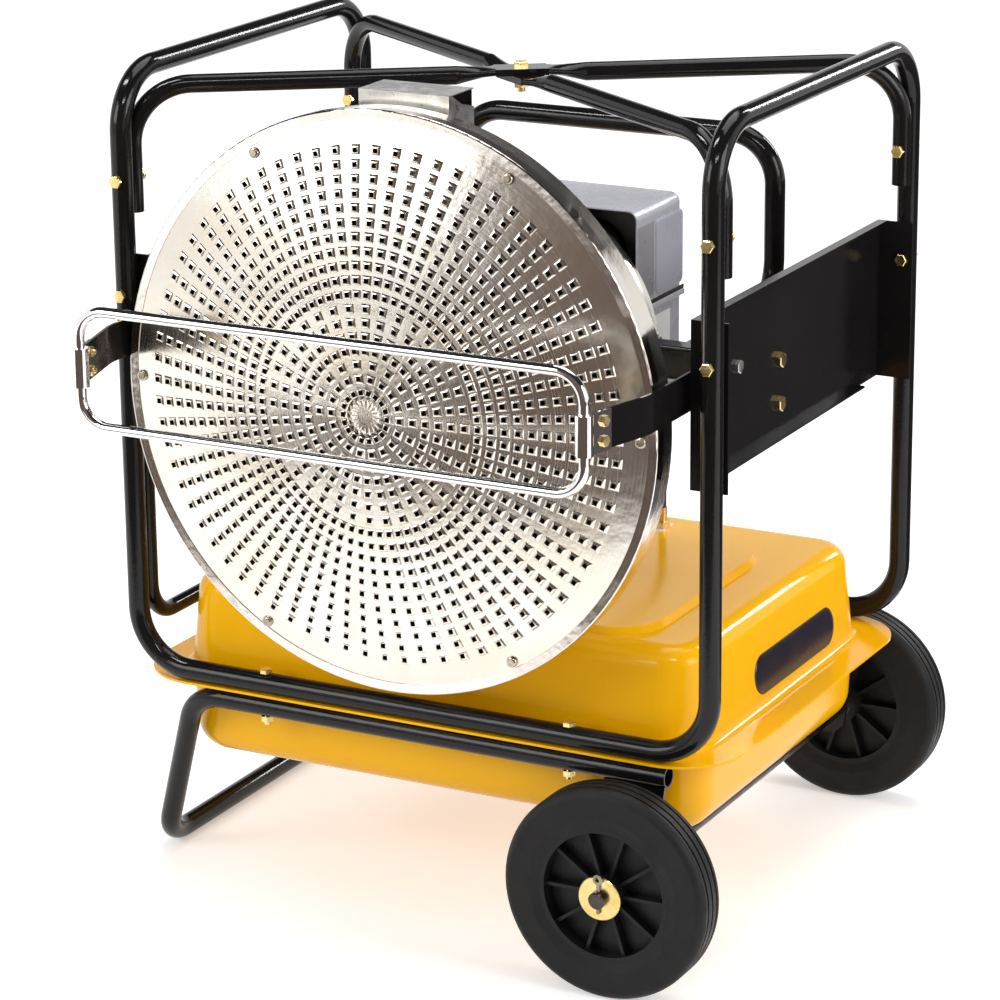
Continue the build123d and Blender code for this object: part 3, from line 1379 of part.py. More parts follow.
nodes = {
    "roll_frame_right": roll_frame_right,
    "roll_frame_left": roll_frame_left,
    "base_tube": base_tube,
    "base_clamp_bolts": base_clamp_bolts,
    "axle_brackets": axle_brackets,
    "axle": axle,
    "axle_washers": axle_washers,
    "axle_cotter_pins": axle_cotter_pins,
    "axle_spacers": axle_spacers,
    "front_tyre": front_tyre,
    "rear_tyre": rear_tyre,
    "front_rim": front_rim,
    "rear_rim": rear_rim,
    "brace_tube_upper": brace_tube_upper,
    "brace_tube_lower": brace_tube_lower,
    "side_plate_right": side_plate_right,
    "side_plate_left": side_plate_left,
    "frame_bolts": frame_bolts,
    "lift_handle": lift_handle,
    "handle_pivot_pins": handle_pivot_pins,
    "tank_pan": tank_pan,
    "tank_cover": tank_cover,
    "drain_plug": drain_plug,
    "filler_neck": filler_neck,
    "filler_cap": filler_cap,
    "tank_outlet": tank_outlet,
    "fuel_hose": fuel_hose,
    "emitter_disc": emitter_disc,
    "drum_shell": drum_shell,
    "disc_screws": disc_screws,
    "rim_ring": rim_ring,
    "chamber_casing": chamber_casing,
    "flame_tube": flame_tube,
    "flame_spreader": flame_spreader,
    "support_band": support_band,
    "head_arms": head_arms,
    "exhaust_hood": exhaust_hood,
    "guard_loop": guard_loop,
    "guard_arm_right": guard_arm_right,
    "guard_arm_left": guard_arm_left,
    "guard_clamps": guard_clamps,
    "guard_screws": guard_screws,
    "rear_hoop": rear_hoop,
    "burner_cover_lower": burner_cover_lower,
    "equipment_tray": equipment_tray,
    "burner_cover_upper": burner_cover_upper,
    "air_intake": air_intake,
    "burner_body": burner_body,
    "photocell": photocell,
    "burner_motor": burner_motor,
    "fuel_pump": fuel_pump,
    "motor_shaft": motor_shaft,
    "fan_wheel": fan_wheel,
    "nozzle_line": nozzle_line,
    "ignition_electrodes": ignition_electrodes,
    "ignition_transformer": ignition_transformer,
    "control_box": control_box,
    "reset_button": reset_button,
    "power_switch": power_switch,
    "cord_gland": cord_gland,
}

os.makedirs("parts", exist_ok=True)
for name, piece in nodes.items():
    piece.part.label = name
    export_step(piece.part, f"parts/{name}.step")
print(len(nodes), "nodes")
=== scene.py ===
import json
import math

import bpy
import numpy as np
from mathutils import Matrix, Vector


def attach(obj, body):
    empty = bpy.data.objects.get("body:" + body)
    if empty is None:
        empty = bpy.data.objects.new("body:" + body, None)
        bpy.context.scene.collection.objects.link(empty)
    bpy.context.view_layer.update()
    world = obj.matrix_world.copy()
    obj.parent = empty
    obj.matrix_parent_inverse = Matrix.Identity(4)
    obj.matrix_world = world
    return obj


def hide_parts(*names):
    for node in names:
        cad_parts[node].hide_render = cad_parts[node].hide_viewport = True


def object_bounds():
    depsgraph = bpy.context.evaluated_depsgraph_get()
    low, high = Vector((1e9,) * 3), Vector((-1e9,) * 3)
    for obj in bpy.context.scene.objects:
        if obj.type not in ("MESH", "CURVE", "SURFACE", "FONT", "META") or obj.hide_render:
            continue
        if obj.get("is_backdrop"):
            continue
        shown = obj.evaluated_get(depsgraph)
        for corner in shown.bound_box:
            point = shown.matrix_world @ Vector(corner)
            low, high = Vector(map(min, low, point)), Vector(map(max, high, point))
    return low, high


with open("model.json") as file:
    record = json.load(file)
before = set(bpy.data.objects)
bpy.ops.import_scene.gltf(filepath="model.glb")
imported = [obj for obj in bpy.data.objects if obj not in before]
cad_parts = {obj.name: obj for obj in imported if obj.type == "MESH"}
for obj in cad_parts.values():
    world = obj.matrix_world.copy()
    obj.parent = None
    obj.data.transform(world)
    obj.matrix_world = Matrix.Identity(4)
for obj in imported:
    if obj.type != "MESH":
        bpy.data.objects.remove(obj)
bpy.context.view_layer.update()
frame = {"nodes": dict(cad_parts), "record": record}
scene = bpy.context.scene
nodes = frame["nodes"]
slotOf = {row["node"]: row["material_slot"] for row in frame["record"]["subparts"]}
print("frame loaded:", len(nodes), "nodes")

headZ = 0.649    # height of the head's axis, in metres like every length here


# Camera, solved from the straight frame tubes; angles in degrees
shot = {
    "at": (2.0057, -3.8154, 1.7932),
    "yaw": -27.828,
    "pitch": 17.182,
    "roll": -0.56,
    "lens": 135.9,
    "sensor": 36,
    "clip": (0.1, 200),
}


def aimCamera(values):
    yaw, pitch, roll = (math.radians(values[k]) for k in ("yaw", "pitch", "roll"))
    level = math.cos(pitch)
    forward = Vector((math.sin(yaw) * level, math.cos(yaw) * level, -math.sin(pitch)))
    sideways = Vector((math.cos(yaw), -math.sin(yaw), 0))
    above = sideways.cross(forward)
    right = sideways * math.cos(roll) + above * math.sin(roll)
    up = above * math.cos(roll) - sideways * math.sin(roll)
    data = bpy.data.cameras.new("camera")
    data.lens = values["lens"]
    data.sensor_width = values["sensor"]
    data.clip_start, data.clip_end = values["clip"]
    made = bpy.data.objects.new("camera", data)
    scene.collection.objects.link(made)
    turned = Matrix((right, up, -forward)).transposed().to_4x4()
    made.matrix_world = Matrix.Translation(values["at"]) @ turned
    scene.camera = made


aimCamera(shot)


# Light: soft boxes for the shape, strips for the highlights along the paint
lamps = {
    "keyBox": {"at": (-2.5, -3.9, 2.5), "target": (0, 0, 0.4), "size": (2.4, 2.2), "glow": 5.4},
    "topBox": {"at": (0.3, 0.9, 4.0), "target": (0, 0, 0.4), "size": (2.6, 2.6), "glow": 3.6},
    "rightBox": {"at": (3.6, -0.4, 1.9), "target": (0, 0, 0.5), "size": (1.8, 1.8), "glow": 5.6},
    "topStrip": {"at": (-0.95, -0.8, 2.95), "target": (-0.95, -0.1, 0.3), "size": (1.2, 0.26), "glow": 34},
    "frontStrip": {"at": (1.3, -2.6, 3.2), "target": (0.2, 0, 0.8), "size": (1.4, 0.2), "glow": 26},
    "rearStrip": {"at": (1.3, 3.3, 2.4), "target": (0.3, 0.1, 0.9), "size": (0.26, 1.8), "glow": 34},
}


def softBox(name, values):
    size = values["size"]
    data = bpy.data.lights.new(name, "AREA")
    data.shape = "RECTANGLE"
    data.size, data.size_y = size
    data.energy = values["glow"] * math.pi * size[0] * size[1]
    made = bpy.data.objects.new(name, data)
    made.location = values["at"]
    made.rotation_mode = "QUATERNION"
    aim = Vector(values["target"]) - Vector(values["at"])
    made.rotation_quaternion = aim.to_track_quat("-Z", "Y")
    made.visible_camera = False
    scene.collection.objects.link(made)
    return made


# A strip only draws highlights, on paint, plastic and small fasteners
mirrors = ("stainless", "rim_steel", "chrome_rod", "hood_grey")
painted = bpy.data.collections.new("painted")
for name, piece in nodes.items():
    if slotOf[name] not in mirrors:
        painted.objects.link(piece)
for name, values in lamps.items():
    made = softBox(name, values)
    if name.endswith("Strip"):
        made.visible_diffuse = False
        made.light_linking.receiver_collection = painted


def nodeTree(owner):
    owner.use_nodes = True
    tree = owner.node_tree
    tree.nodes.clear()
    return tree


def addNode(tree, kind, values=(), links=(), **settings):
    node = tree.nodes.new(kind)
    for key, value in settings.items():
        setattr(node, key, value)
    for key, value in dict(values).items():
        node.inputs[key].default_value = value
    for key, source in dict(links).items():
        tree.links.new(source, node.inputs[key])
    return node


def mathNode(tree, operation, first, second=None):
    node = tree.nodes.new("ShaderNodeMath")
    node.operation = operation
    for place, item in enumerate((first, second)):
        if item is None:
            continue
        if isinstance(item, (int, float)):
            node.inputs[place].default_value = item
        else:
            tree.links.new(item, node.inputs[place])
    return node.outputs[0]


# 1 for rays from the camera, off gloss or through glass, 0 for the rest
def seenRays(tree):
    ray = tree.nodes.new("ShaderNodeLightPath")
    direct = mathNode(tree, "ADD", ray.outputs["Is Camera Ray"], ray.outputs["Is Glossy Ray"])
    return mathNode(tree, "ADD", direct, ray.outputs["Is Transmission Ray"])


# A flat piece with one face
def flatPiece(name, corners, material):
    mesh = bpy.data.meshes.new(name)
    mesh.from_pydata(corners, [], [(0, 1, 2, 3)])
    mesh.materials.append(material)
    made = bpy.data.objects.new(name, mesh)
    scene.collection.objects.link(made)
    return made


# The room is white to the eye and in every mirror, and gives a soft fill light
room = {"fill": 0.55, "seen": 1.0}
world = bpy.data.worlds.new("world")
scene.world = world
tree = nodeTree(world)
fill = addNode(tree, "ShaderNodeBackground", {"Color": (1, 1, 1, 1), "Strength": room["fill"]})
seen = addNode(tree, "ShaderNodeBackground", {"Color": (1, 1, 1, 1), "Strength": room["seen"]})
parts = {0: seenRays(tree), 1: fill.outputs[0], 2: seen.outputs[0]}
both = addNode(tree, "ShaderNodeMixShader", links=parts)
addNode(tree, "ShaderNodeOutputWorld", links={"Surface": both.outputs[0]})

# Dark cards round the object, which only mirrors and gloss see
cards = {
    "ceilingCard": {"low": (-7, -6, 4.6), "high": (7, 6, 4.6), "color": (0.03, 0.03, 0.035)},
    "frontCard": {"low": (-1.6, -5.2, 0), "high": (7, -5.2, 4.6), "color": (0.15, 0.11, 0.09)},
    "carpetCard": {"low": (-1.75, -5.2, 0.004), "high": (7, -1.35, 0.004), "color": (0.12, 0.09, 0.075)},
    "rearCarpetCard": {"low": (0.55, 0.5, 0.004), "high": (7, 6, 0.004), "color": (0.10, 0.085, 0.09)},
    "rearCard": {"low": (-7, 6, 3.3), "high": (7, 6, 4.6), "color": (0.07, 0.06, 0.065)},
}
for name, values in cards.items():
    (x0, y0, z0), (x1, y1, z1) = values["low"], values["high"]
    material = bpy.data.materials.new(name)
    tree = nodeTree(material)
    glow = addNode(tree, "ShaderNodeEmission", {"Color": (*values["color"], 1), "Strength": 1})
    addNode(tree, "ShaderNodeOutputMaterial", links={"Surface": glow.outputs[0]})
    card = flatPiece(name, [(x0, y0, z0), (x1, y0, z0), (x1, y1, z1), (x0, y1, z1)], material)
    card.visible_camera = card.visible_diffuse = card.visible_shadow = card.visible_transmission = False
    card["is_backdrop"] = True
scene.view_settings.view_transform = "Standard"
print("camera, light and world done")


# The part of each noise that is spread from Low to High
noiseSpan = {
    "mottle": {"From Min": 0.33, "From Max": 0.67},
    "lines": {"From Min": 0.3, "From Max": 0.7},
}


# Shared effects, each a node group that puts out one value
def newGroup(name, inputs, output):
    group = bpy.data.node_groups.new(name, "ShaderNodeTree")
    for label, value in inputs:
        socket = group.interface.new_socket(label, in_out="INPUT", socket_type="NodeSocketFloat")
        socket.default_value = value
    group.interface.new_socket(output, in_out="OUTPUT", socket_type="NodeSocketFloat")
    return group, group.nodes.new("NodeGroupInput"), group.nodes.new("NodeGroupOutput")


# Cloudy change over the surface, from Low to High
mottleGroup, groupIn, groupOut = newGroup(
    "surfaceMottle", [("Scale", 8), ("Low", 0), ("High", 1), ("Seed", 0)], "Value"
)
place = addNode(mottleGroup, "ShaderNodeTexCoord")
noise = addNode(
    mottleGroup,
    "ShaderNodeTexNoise",
    {"Detail": 4, "Roughness": 0.55},
    {"Vector": place.outputs["Object"], "Scale": groupIn.outputs["Scale"], "W": groupIn.outputs["Seed"]},
    noise_dimensions="4D",
)
spread = addNode(
    mottleGroup,
    "ShaderNodeMapRange",
    noiseSpan["mottle"],
    {"Value": noise.outputs[0], "To Min": groupIn.outputs["Low"], "To Max": groupIn.outputs["High"]},
)
mottleGroup.links.new(spread.outputs[0], groupOut.inputs[0])

# Lines turned round the head's axis, as on a spun sheet
spunGroup, groupIn, groupOut = newGroup("spunLines", [("Scale", 900), ("Low", 0), ("High", 1)], "Value")
place = addNode(spunGroup, "ShaderNodeTexCoord")
apart = addNode(spunGroup, "ShaderNodeSeparateXYZ", links={0: place.outputs["Object"]})
high = mathNode(spunGroup, "SUBTRACT", apart.outputs["Z"], headZ)
squared = mathNode(
    spunGroup,
    "ADD",
    mathNode(spunGroup, "MULTIPLY", apart.outputs["X"], apart.outputs["X"]),
    mathNode(spunGroup, "MULTIPLY", high, high),
)
radius = mathNode(spunGroup, "SQRT", squared)
noise = addNode(
    spunGroup,
    "ShaderNodeTexNoise",
    {"Detail": 3, "Roughness": 0.6},
    {"W": radius, "Scale": groupIn.outputs["Scale"]},
    noise_dimensions="1D",
)
spread = addNode(
    spunGroup,
    "ShaderNodeMapRange",
    noiseSpan["lines"],
    {"Value": noise.outputs[0], "To Min": groupIn.outputs["Low"], "To Max": groupIn.outputs["High"]},
)
spunGroup.links.new(spread.outputs[0], groupOut.inputs[0])

# Lines drawn along one direction: StretchX, StretchY and StretchZ are the lines per metre
drawnGroup, groupIn, groupOut = newGroup(
    "drawnLines",
    [("StretchX", 20), ("StretchY", 20), ("StretchZ", 900), ("Low", 0), ("High", 1)],
    "Value",
)
place = addNode(drawnGroup, "ShaderNodeTexCoord")
stretch = addNode(
    drawnGroup,
    "ShaderNodeCombineXYZ",
    links={k[-1]: groupIn.outputs[k] for k in ("StretchX", "StretchY", "StretchZ")},
)
scaled = addNode(
    drawnGroup,
    "ShaderNodeVectorMath",
    links={0: place.outputs["Object"], 1: stretch.outputs[0]},
    operation="MULTIPLY",
)
noise = addNode(
    drawnGroup,
    "ShaderNodeTexNoise",
    {"Scale": 1, "Detail": 2, "Roughness": 0.5},
    {"Vector": scaled.outputs[0]},
)
spread = addNode(
    drawnGroup,
    "ShaderNodeMapRange",
    noiseSpan["lines"],
    {"Value": noise.outputs[0], "To Min": groupIn.outputs["Low"], "To Max": groupIn.outputs["High"]},
)
drawnGroup.links.new(spread.outputs[0], groupOut.inputs[0])

groups = {"mottle": mottleGroup, "spun": spunGroup, "drawn": drawnGroup}


def useGroup(tree, kind, **values):
    node = tree.nodes.new("ShaderNodeGroup")
    node.node_tree = groups[kind]
    for key, value in values.items():
        node.inputs[key].default_value = value
    return node.outputs[0]


def startMaterial(name, **sockets):
    material = bpy.data.materials.new(name)
    tree = nodeTree(material)
    shader = tree.nodes.new("ShaderNodeBsdfPrincipled")
    out = tree.nodes.new("ShaderNodeOutputMaterial")
    tree.links.new(shader.outputs[0], out.inputs["Surface"])
    for key, value in sockets.items():
        shader.inputs[key.replace("_", " ")].default_value = value
    return material, tree, shader


# Base Color goes from base to second with factor
def shade(tree, shader, base, factor, second):
    mix = tree.nodes.new("ShaderNodeMix")
    mix.data_type = "RGBA"
    mix.inputs["A"].default_value = (*base, 1)
    mix.inputs["B"].default_value = (*second, 1)
    tree.links.new(factor, mix.inputs["Factor"])
    tree.links.new(mix.outputs["Result"], shader.inputs["Base Color"])


# A bump in the normal, on top of the one made before it
def raiseBy(tree, shader, height, distance, before=None):
    bump = addNode(tree, "ShaderNodeBump", {"Distance": distance}, {"Height": height})
    if before:
        tree.links.new(before, bump.inputs["Normal"])
    tree.links.new(bump.outputs[0], shader.inputs["Normal"])
    return bump.outputs[0]


# Patches per metre in each finish's colour, gloss and relief, and its roughness's lowest and highest share
finishes = {
    "enamel": {"patch": 5, "gloss": 22, "smooth": 0.75, "dull": 1.4, "relief": 260},
    "moulded": {"patch": 9, "gloss": 40, "smooth": 0.8, "dull": 1.2},
    "plated": {"patch": 60, "gloss": 90, "smooth": 0.7, "dull": 1.3},
    "spun": {"patch": 9, "gloss": 700, "smooth": 0.8, "dull": 1.25, "dents": 13, "relief": 1500},
}


# Roughness in patches or lines between the finish's smoothest and dullest
def glossOf(tree, shader, kind, fine, rough, **values):
    low, high = rough * fine["smooth"], rough * fine["dull"]
    gloss = useGroup(tree, kind, Scale=fine["gloss"], Low=low, High=high, **values)
    tree.links.new(gloss, shader.inputs["Roughness"])


# Sprayed gloss paint: a slow change of colour, orange peel and a little dust in the gloss
def enamel(name, base, second, rough, peel=0.00005, **sockets):
    material, tree, shader = startMaterial(name, **sockets)
    fine = finishes["enamel"]
    shade(tree, shader, base, useGroup(tree, "mottle", Scale=fine["patch"], Seed=1), second)
    glossOf(tree, shader, "mottle", fine, rough, Seed=2)
    raiseBy(tree, shader, useGroup(tree, "mottle", Scale=fine["relief"], Seed=3), peel)
    return material


# Moulded plastic or rubber with a fine grain
def moulded(name, base, second, rough, grain=900, depth=0.00012, **sockets):
    material, tree, shader = startMaterial(name, **sockets)
    fine = finishes["moulded"]
    shade(tree, shader, base, useGroup(tree, "mottle", Scale=fine["patch"], Seed=4), second)
    glossOf(tree, shader, "mottle", fine, rough, Seed=5)
    raiseBy(tree, shader, useGroup(tree, "mottle", Scale=grain, Seed=6), depth)
    return material


# Plated, cast or drawn metal: patches of tone and fine lines
def plated(name, base, second, rough, lines=(30, 30, 30), depth=0.00002, **sockets):
    material, tree, shader = startMaterial(name, Metallic=1.0, **sockets)
    fine = finishes["plated"]
    shade(tree, shader, base, useGroup(tree, "mottle", Scale=fine["patch"], Seed=7), second)
    glossOf(tree, shader, "mottle", fine, rough, Seed=8)
    sizes = dict(zip(("StretchX", "StretchY", "StretchZ"), lines))
    raiseBy(tree, shader, useGroup(tree, "drawn", **sizes), depth)
    return material


# Stainless sheet spun round the head's axis, with shallow dents and a heat tint in clouds
def spun(name, base, tint, rough, depth=0.000008, dent=0.0006):
    material, tree, shader = startMaterial(name, Metallic=1.0)
    fine = finishes["spun"]
    shade(tree, shader, base, useGroup(tree, "mottle", Scale=fine["patch"], Seed=9), tint)
    glossOf(tree, shader, "spun", fine, rough)
    dents = raiseBy(tree, shader, useGroup(tree, "mottle", Scale=fine["dents"], Seed=10), dent)
    raiseBy(tree, shader, useGroup(tree, "spun", Scale=fine["relief"]), depth, dents)
    return material


paint = {
    "frame_black": enamel(
        "frameBlack", (0.006, 0.0055, 0.0055), (0.010, 0.009, 0.009), 0.10, Specular_IOR_Level=0.26
    ),
    "zinc_yellow": plated("zincYellow", (0.72, 0.52, 0.16), (0.84, 0.70, 0.36), 0.25, (400, 400, 400)),
    "steel_plain": plated("steelPlain", (0.62, 0.61, 0.58), (0.72, 0.71, 0.69), 0.3, (300, 300, 300)),
    "tyre_rubber": moulded(
        "tyreRubber",
        (0.009, 0.0085, 0.0085),
        (0.015, 0.014, 0.014),
        0.5,
        700,
        0.00015,
        Specular_IOR_Level=0.2,
    ),
    "wheel_plastic": moulded(
        "wheelPlastic", (0.007, 0.007, 0.007), (0.011, 0.011, 0.011), 0.35, Specular_IOR_Level=0.22
    ),
    "tank_yellow": enamel(
        "tankYellow", (0.93, 0.455, 0.002), (0.96, 0.495, 0.003), 0.12, Specular_IOR_Level=0.22
    ),
    "cap_plastic": moulded("capPlastic", (0.012, 0.012, 0.012), (0.020, 0.020, 0.020), 0.42),
    "brass_fitting": plated("brassFitting", (0.72, 0.50, 0.22), (0.80, 0.62, 0.34), 0.26),
    "hose_rubber": moulded("hoseRubber", (0.012, 0.012, 0.012), (0.020, 0.020, 0.020), 0.48),
    "stainless": spun("stainless", (0.81, 0.785, 0.735), (0.78, 0.70, 0.59), 0.22),
    "rim_steel": spun("rimSteel", (0.80, 0.77, 0.73), (0.74, 0.66, 0.58), 0.13, dent=0.0004),
    "hood_grey": plated(
        "hoodGrey", (0.46, 0.45, 0.44), (0.58, 0.57, 0.55), 0.34, (20, 20, 800), 0.000006
    ),
    "chrome_rod": plated(
        "chromeRod", (0.84, 0.84, 0.85), (0.90, 0.90, 0.90), 0.05, (20, 20, 20), 0.000005
    ),
    "case_grey": enamel("caseGrey", (0.44, 0.44, 0.49), (0.455, 0.455, 0.505), 0.26, 0.00003),
    "case_black": moulded("caseBlack", (0.009, 0.009, 0.009), (0.016, 0.016, 0.016), 0.4),
    "cast_alloy": plated(
        "castAlloy", (0.48, 0.48, 0.47), (0.60, 0.60, 0.59), 0.46, (500, 500, 500), 0.000015
    ),
    "ceramic_white": enamel("ceramicWhite", (0.80, 0.78, 0.72), (0.86, 0.85, 0.80), 0.2),
    "button_red": moulded("buttonRed", (0.55, 0.015, 0.012), (0.66, 0.03, 0.02), 0.3),
}
own = {    # nodes that look a little different from the rest of their slot
    # The axle and the cotter pins are steel with their colour darkened: a painted dark reflection
    "axle": plated("axleSteelDarkReflection", (0.05, 0.045, 0.04), (0.09, 0.08, 0.07), 0.3, (300, 300, 300)),
    "axle_cotter_pins": plated("pinSteelDarkReflection", (0.20, 0.19, 0.17), (0.30, 0.28, 0.25), 0.3, (300, 300, 300)),
    "disc_screws": plated("screwSteel", (0.42, 0.36, 0.26), (0.56, 0.50, 0.40), 0.24, (300, 300, 300)),
}
for name, piece in nodes.items():
    piece.data.materials.clear()
    piece.data.materials.append(own.get(name) or paint[slotOf[name]])


# The normal or the center of every face of a CAD node, as rows of (x, y, z)
def faceValues(mesh, kind):
    values = np.zeros((len(mesh.polygons), 3), np.float32)
    mesh.polygons.foreach_get(kind, values.ravel())
    return values


# A second material on the chosen faces of a CAD node
def paintFaces(mesh, chosen, material):
    mesh.materials.append(material)
    mesh.polygons.foreach_set("material_index", chosen.astype(np.int32))
    mesh.update()


# Near-black on the faces inside the drum and the burner chamber, and on those facing the disc, which the
# louvres look into
insideFaces = {
    "nodes": ("drum_shell", "chamber_casing", "flame_tube", "flame_spreader"),
    "frontwards": -0.5,    # faces whose normal has a lower y than this look towards the disc
    "base": (0.012, 0.010, 0.009),
    "second": (0.03, 0.024, 0.02),
    "rough": 0.8,
    "grain": 300,
    "depth": 0.0004,
}
insideBlack = moulded(
    "insideBlack",
    insideFaces["base"],
    insideFaces["second"],
    insideFaces["rough"],
    insideFaces["grain"],
    insideFaces["depth"],
    Specular_IOR_Level=0.1,
)
for name in insideFaces["nodes"]:
    mesh = nodes[name].data
    normal, middle = faceValues(mesh, "normal"), faceValues(mesh, "center")
    inward = normal[:, 0] * middle[:, 0] + normal[:, 2] * (middle[:, 2] - headZ) < 0
    paintFaces(mesh, inward | (normal[:, 1] < insideFaces["frontwards"]), insideBlack)

# The rear bolt of each guard arm is bare steel, the others are zinc yellow
bareBolt = {"outX": 0.32, "frontY": -0.13, "rearY": -0.07, "lowZ": 0.67, "highZ": 0.72}
mesh = nodes["frame_bolts"].data
x, y, z = faceValues(mesh, "center").T
bare = (abs(x) > bareBolt["outX"]) & (y > bareBolt["frontY"]) & (y < bareBolt["rearY"])
bare &= (z > bareBolt["lowZ"]) & (z < bareBolt["highZ"])
paintFaces(mesh, bare, paint["steel_plain"])
print("materials done, bare bolt faces:", int(bare.sum()))


# A new piece on its body, smooth except where faces meet at more than the sharp angle (degrees)
def addMesh(name, points, faces, body, material, sharp):
    mesh = bpy.data.meshes.new(name)
    mesh.from_pydata(points.tolist(), [], [tuple(face) for face in faces])
    mesh.validate()
    mesh.update()
    mesh.shade_smooth()
    made = bpy.data.objects.new(name, mesh)
    scene.collection.objects.link(made)
    mesh.materials.append(material)
    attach(made, body)
    mesh.set_sharp_from_angle(angle=math.radians(sharp))
    return made


# Emitter disc: a domed sheet with square pierced louvres in rings
disc = {
    "edgeR": 0.330,
    "edgeY": -0.2865,
    "rise": 0.045,
    "sheet": 0.0012,
    "firstRing": 0.293,
    "ringPitch": 0.0156,
    "columns": (72,) * 11 + (36,) * 4 + (18,) * 3,   # louvres in each ring, from the rim inwards
    "perRing": 216,                                  # vertices round each row, a multiple of all columns
    "baseHalf": 0.0057,
    "baseShare": 0.43,                               # most of a louvre's room that its base takes
    "holeHalf": 0.0026,
    "collar": 0.0028,
    "rimRows": (1.0, 0.985, 0.965, 0.94),            # plain rows at the rim, as shares of edgeR
    "hubShare": 0.55,                                # plain row in the hub, as a share of the last ring
    "innerR": 0.008,
    "sharp": 25,
}


# y = edge - (rise - R + sqrt(R^2 - r^2)), a cap of a sphere of radius R
def domeY(radius):
    ball = (disc["edgeR"] ** 2 + disc["rise"] ** 2) / (2 * disc["rise"])
    return disc["edgeY"] - (disc["rise"] - ball + np.sqrt(ball**2 - np.asarray(radius) ** 2))


# Angles of one ring's vertices: two at each louvre's sides, the rest spaced evenly between louvres
def ringAngles(columns, radius, half):
    each = disc["perRing"] // columns
    pitch = 2 * math.pi / columns
    wide = half / radius
    steps = np.concatenate(([-wide], wide + (pitch - 2 * wide) * np.arange(each - 1) / (each - 1)))
    return (np.arange(columns)[:, None] * pitch + steps[None, :]).ravel()


# Rows of vertices run inwards, two of them at each ring's bases.
# Each base carries a raised square collar, which stands towards the front and leaves its hole open.
def discMesh():
    perRing = disc["perRing"]
    rings = []                             # (radius, columns, half the base)
    for n, columns in enumerate(disc["columns"]):
        radius = disc["firstRing"] - n * disc["ringPitch"]
        room = 2 * math.pi * radius / columns
        rings.append((radius, columns, min(disc["baseHalf"], disc["baseShare"] * room)))
    rows = [(share * disc["edgeR"], *rings[0], "plain") for share in disc["rimRows"]]
    for n, (radius, columns, half) in enumerate(rings):
        rows.append((radius + half, radius, columns, half, "outer"))
        rows.append((radius - half, radius, columns, half, "inner"))
        if n + 1 < len(rings):
            rows.append(((radius + rings[n + 1][0]) / 2, radius, columns, half, "plain"))
    rows.append((disc["hubShare"] * rings[-1][0], *rings[-1], "plain"))
    rows.append((disc["innerR"], *rings[-1], "plain"))
    turn = np.stack([ringAngles(columns, at, half) for _, at, columns, half, _ in rows])
    radii = np.array([row[0] for row in rows])[:, None] * np.ones((1, perRing))
    points = np.stack([radii * np.cos(turn), domeY(radii), headZ + radii * np.sin(turn)], axis=-1)
    index = np.arange(len(rows) * perRing).reshape(len(rows), perRing)
    after = np.roll(index, -1, axis=1)
    quads = np.stack([index[:-1], index[1:], after[1:], after[:-1]], axis=-1)
    keep = np.ones(quads.shape[:2], bool)
    parts, faces = [points.reshape(-1, 3)], []
    total = index.size
    for r, (_, at, columns, _, kind) in enumerate(rows):
        if kind != "outer":
            continue
        starts = np.arange(columns) * (perRing // columns)
        keep[r, starts] = False
        middle = np.arange(columns) * 2 * math.pi / columns
        across = np.stack([-np.sin(middle), np.zeros(columns), np.cos(middle)], axis=-1)
        outward = np.stack([np.cos(middle), np.zeros(columns), np.sin(middle)], axis=-1)
        centre = outward * at
        centre[:, 1] = domeY(at) - disc["collar"]
        centre[:, 2] += headZ
        hole = disc["holeHalf"]
        signs = ((1, -1), (-1, -1), (-1, 1), (1, 1))      # (outward, across), in the quads' own order
        rim = np.stack([centre + a * hole * outward + b * hole * across for a, b in signs], axis=1)
        inner = index[r + 1, starts], after[r + 1, starts]
        base = np.stack([index[r, starts], *inner, after[r, starts]], axis=-1)
        top = total + np.arange(columns * 4).reshape(columns, 4)
        total += columns * 4
        parts.append(rim.reshape(-1, 3))
        for k in range(4):
            m = (k + 1) % 4
            faces.append(np.stack([base[:, k], base[:, m], top[:, m], top[:, k]], axis=-1))
    hub = np.array([[0.0, float(domeY(0.0)), headZ]])
    parts.append(hub)
    fan = [(int(a), total, int(b)) for a, b in zip(index[-1], after[-1])]
    return np.concatenate(parts), np.concatenate([quads[keep], *faces]).tolist() + fan


points, faces = discMesh()
emitterDisc = addMesh(
    "emitterDisc", points, faces, "heater", paint["stainless"], disc["sharp"]
)
thick = emitterDisc.modifiers.new("sheet", "SOLIDIFY")
thick.thickness = disc["sheet"]
thick.offset = -1
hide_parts("emitter_disc")
print("emitter disc done:", len(faces), "faces")


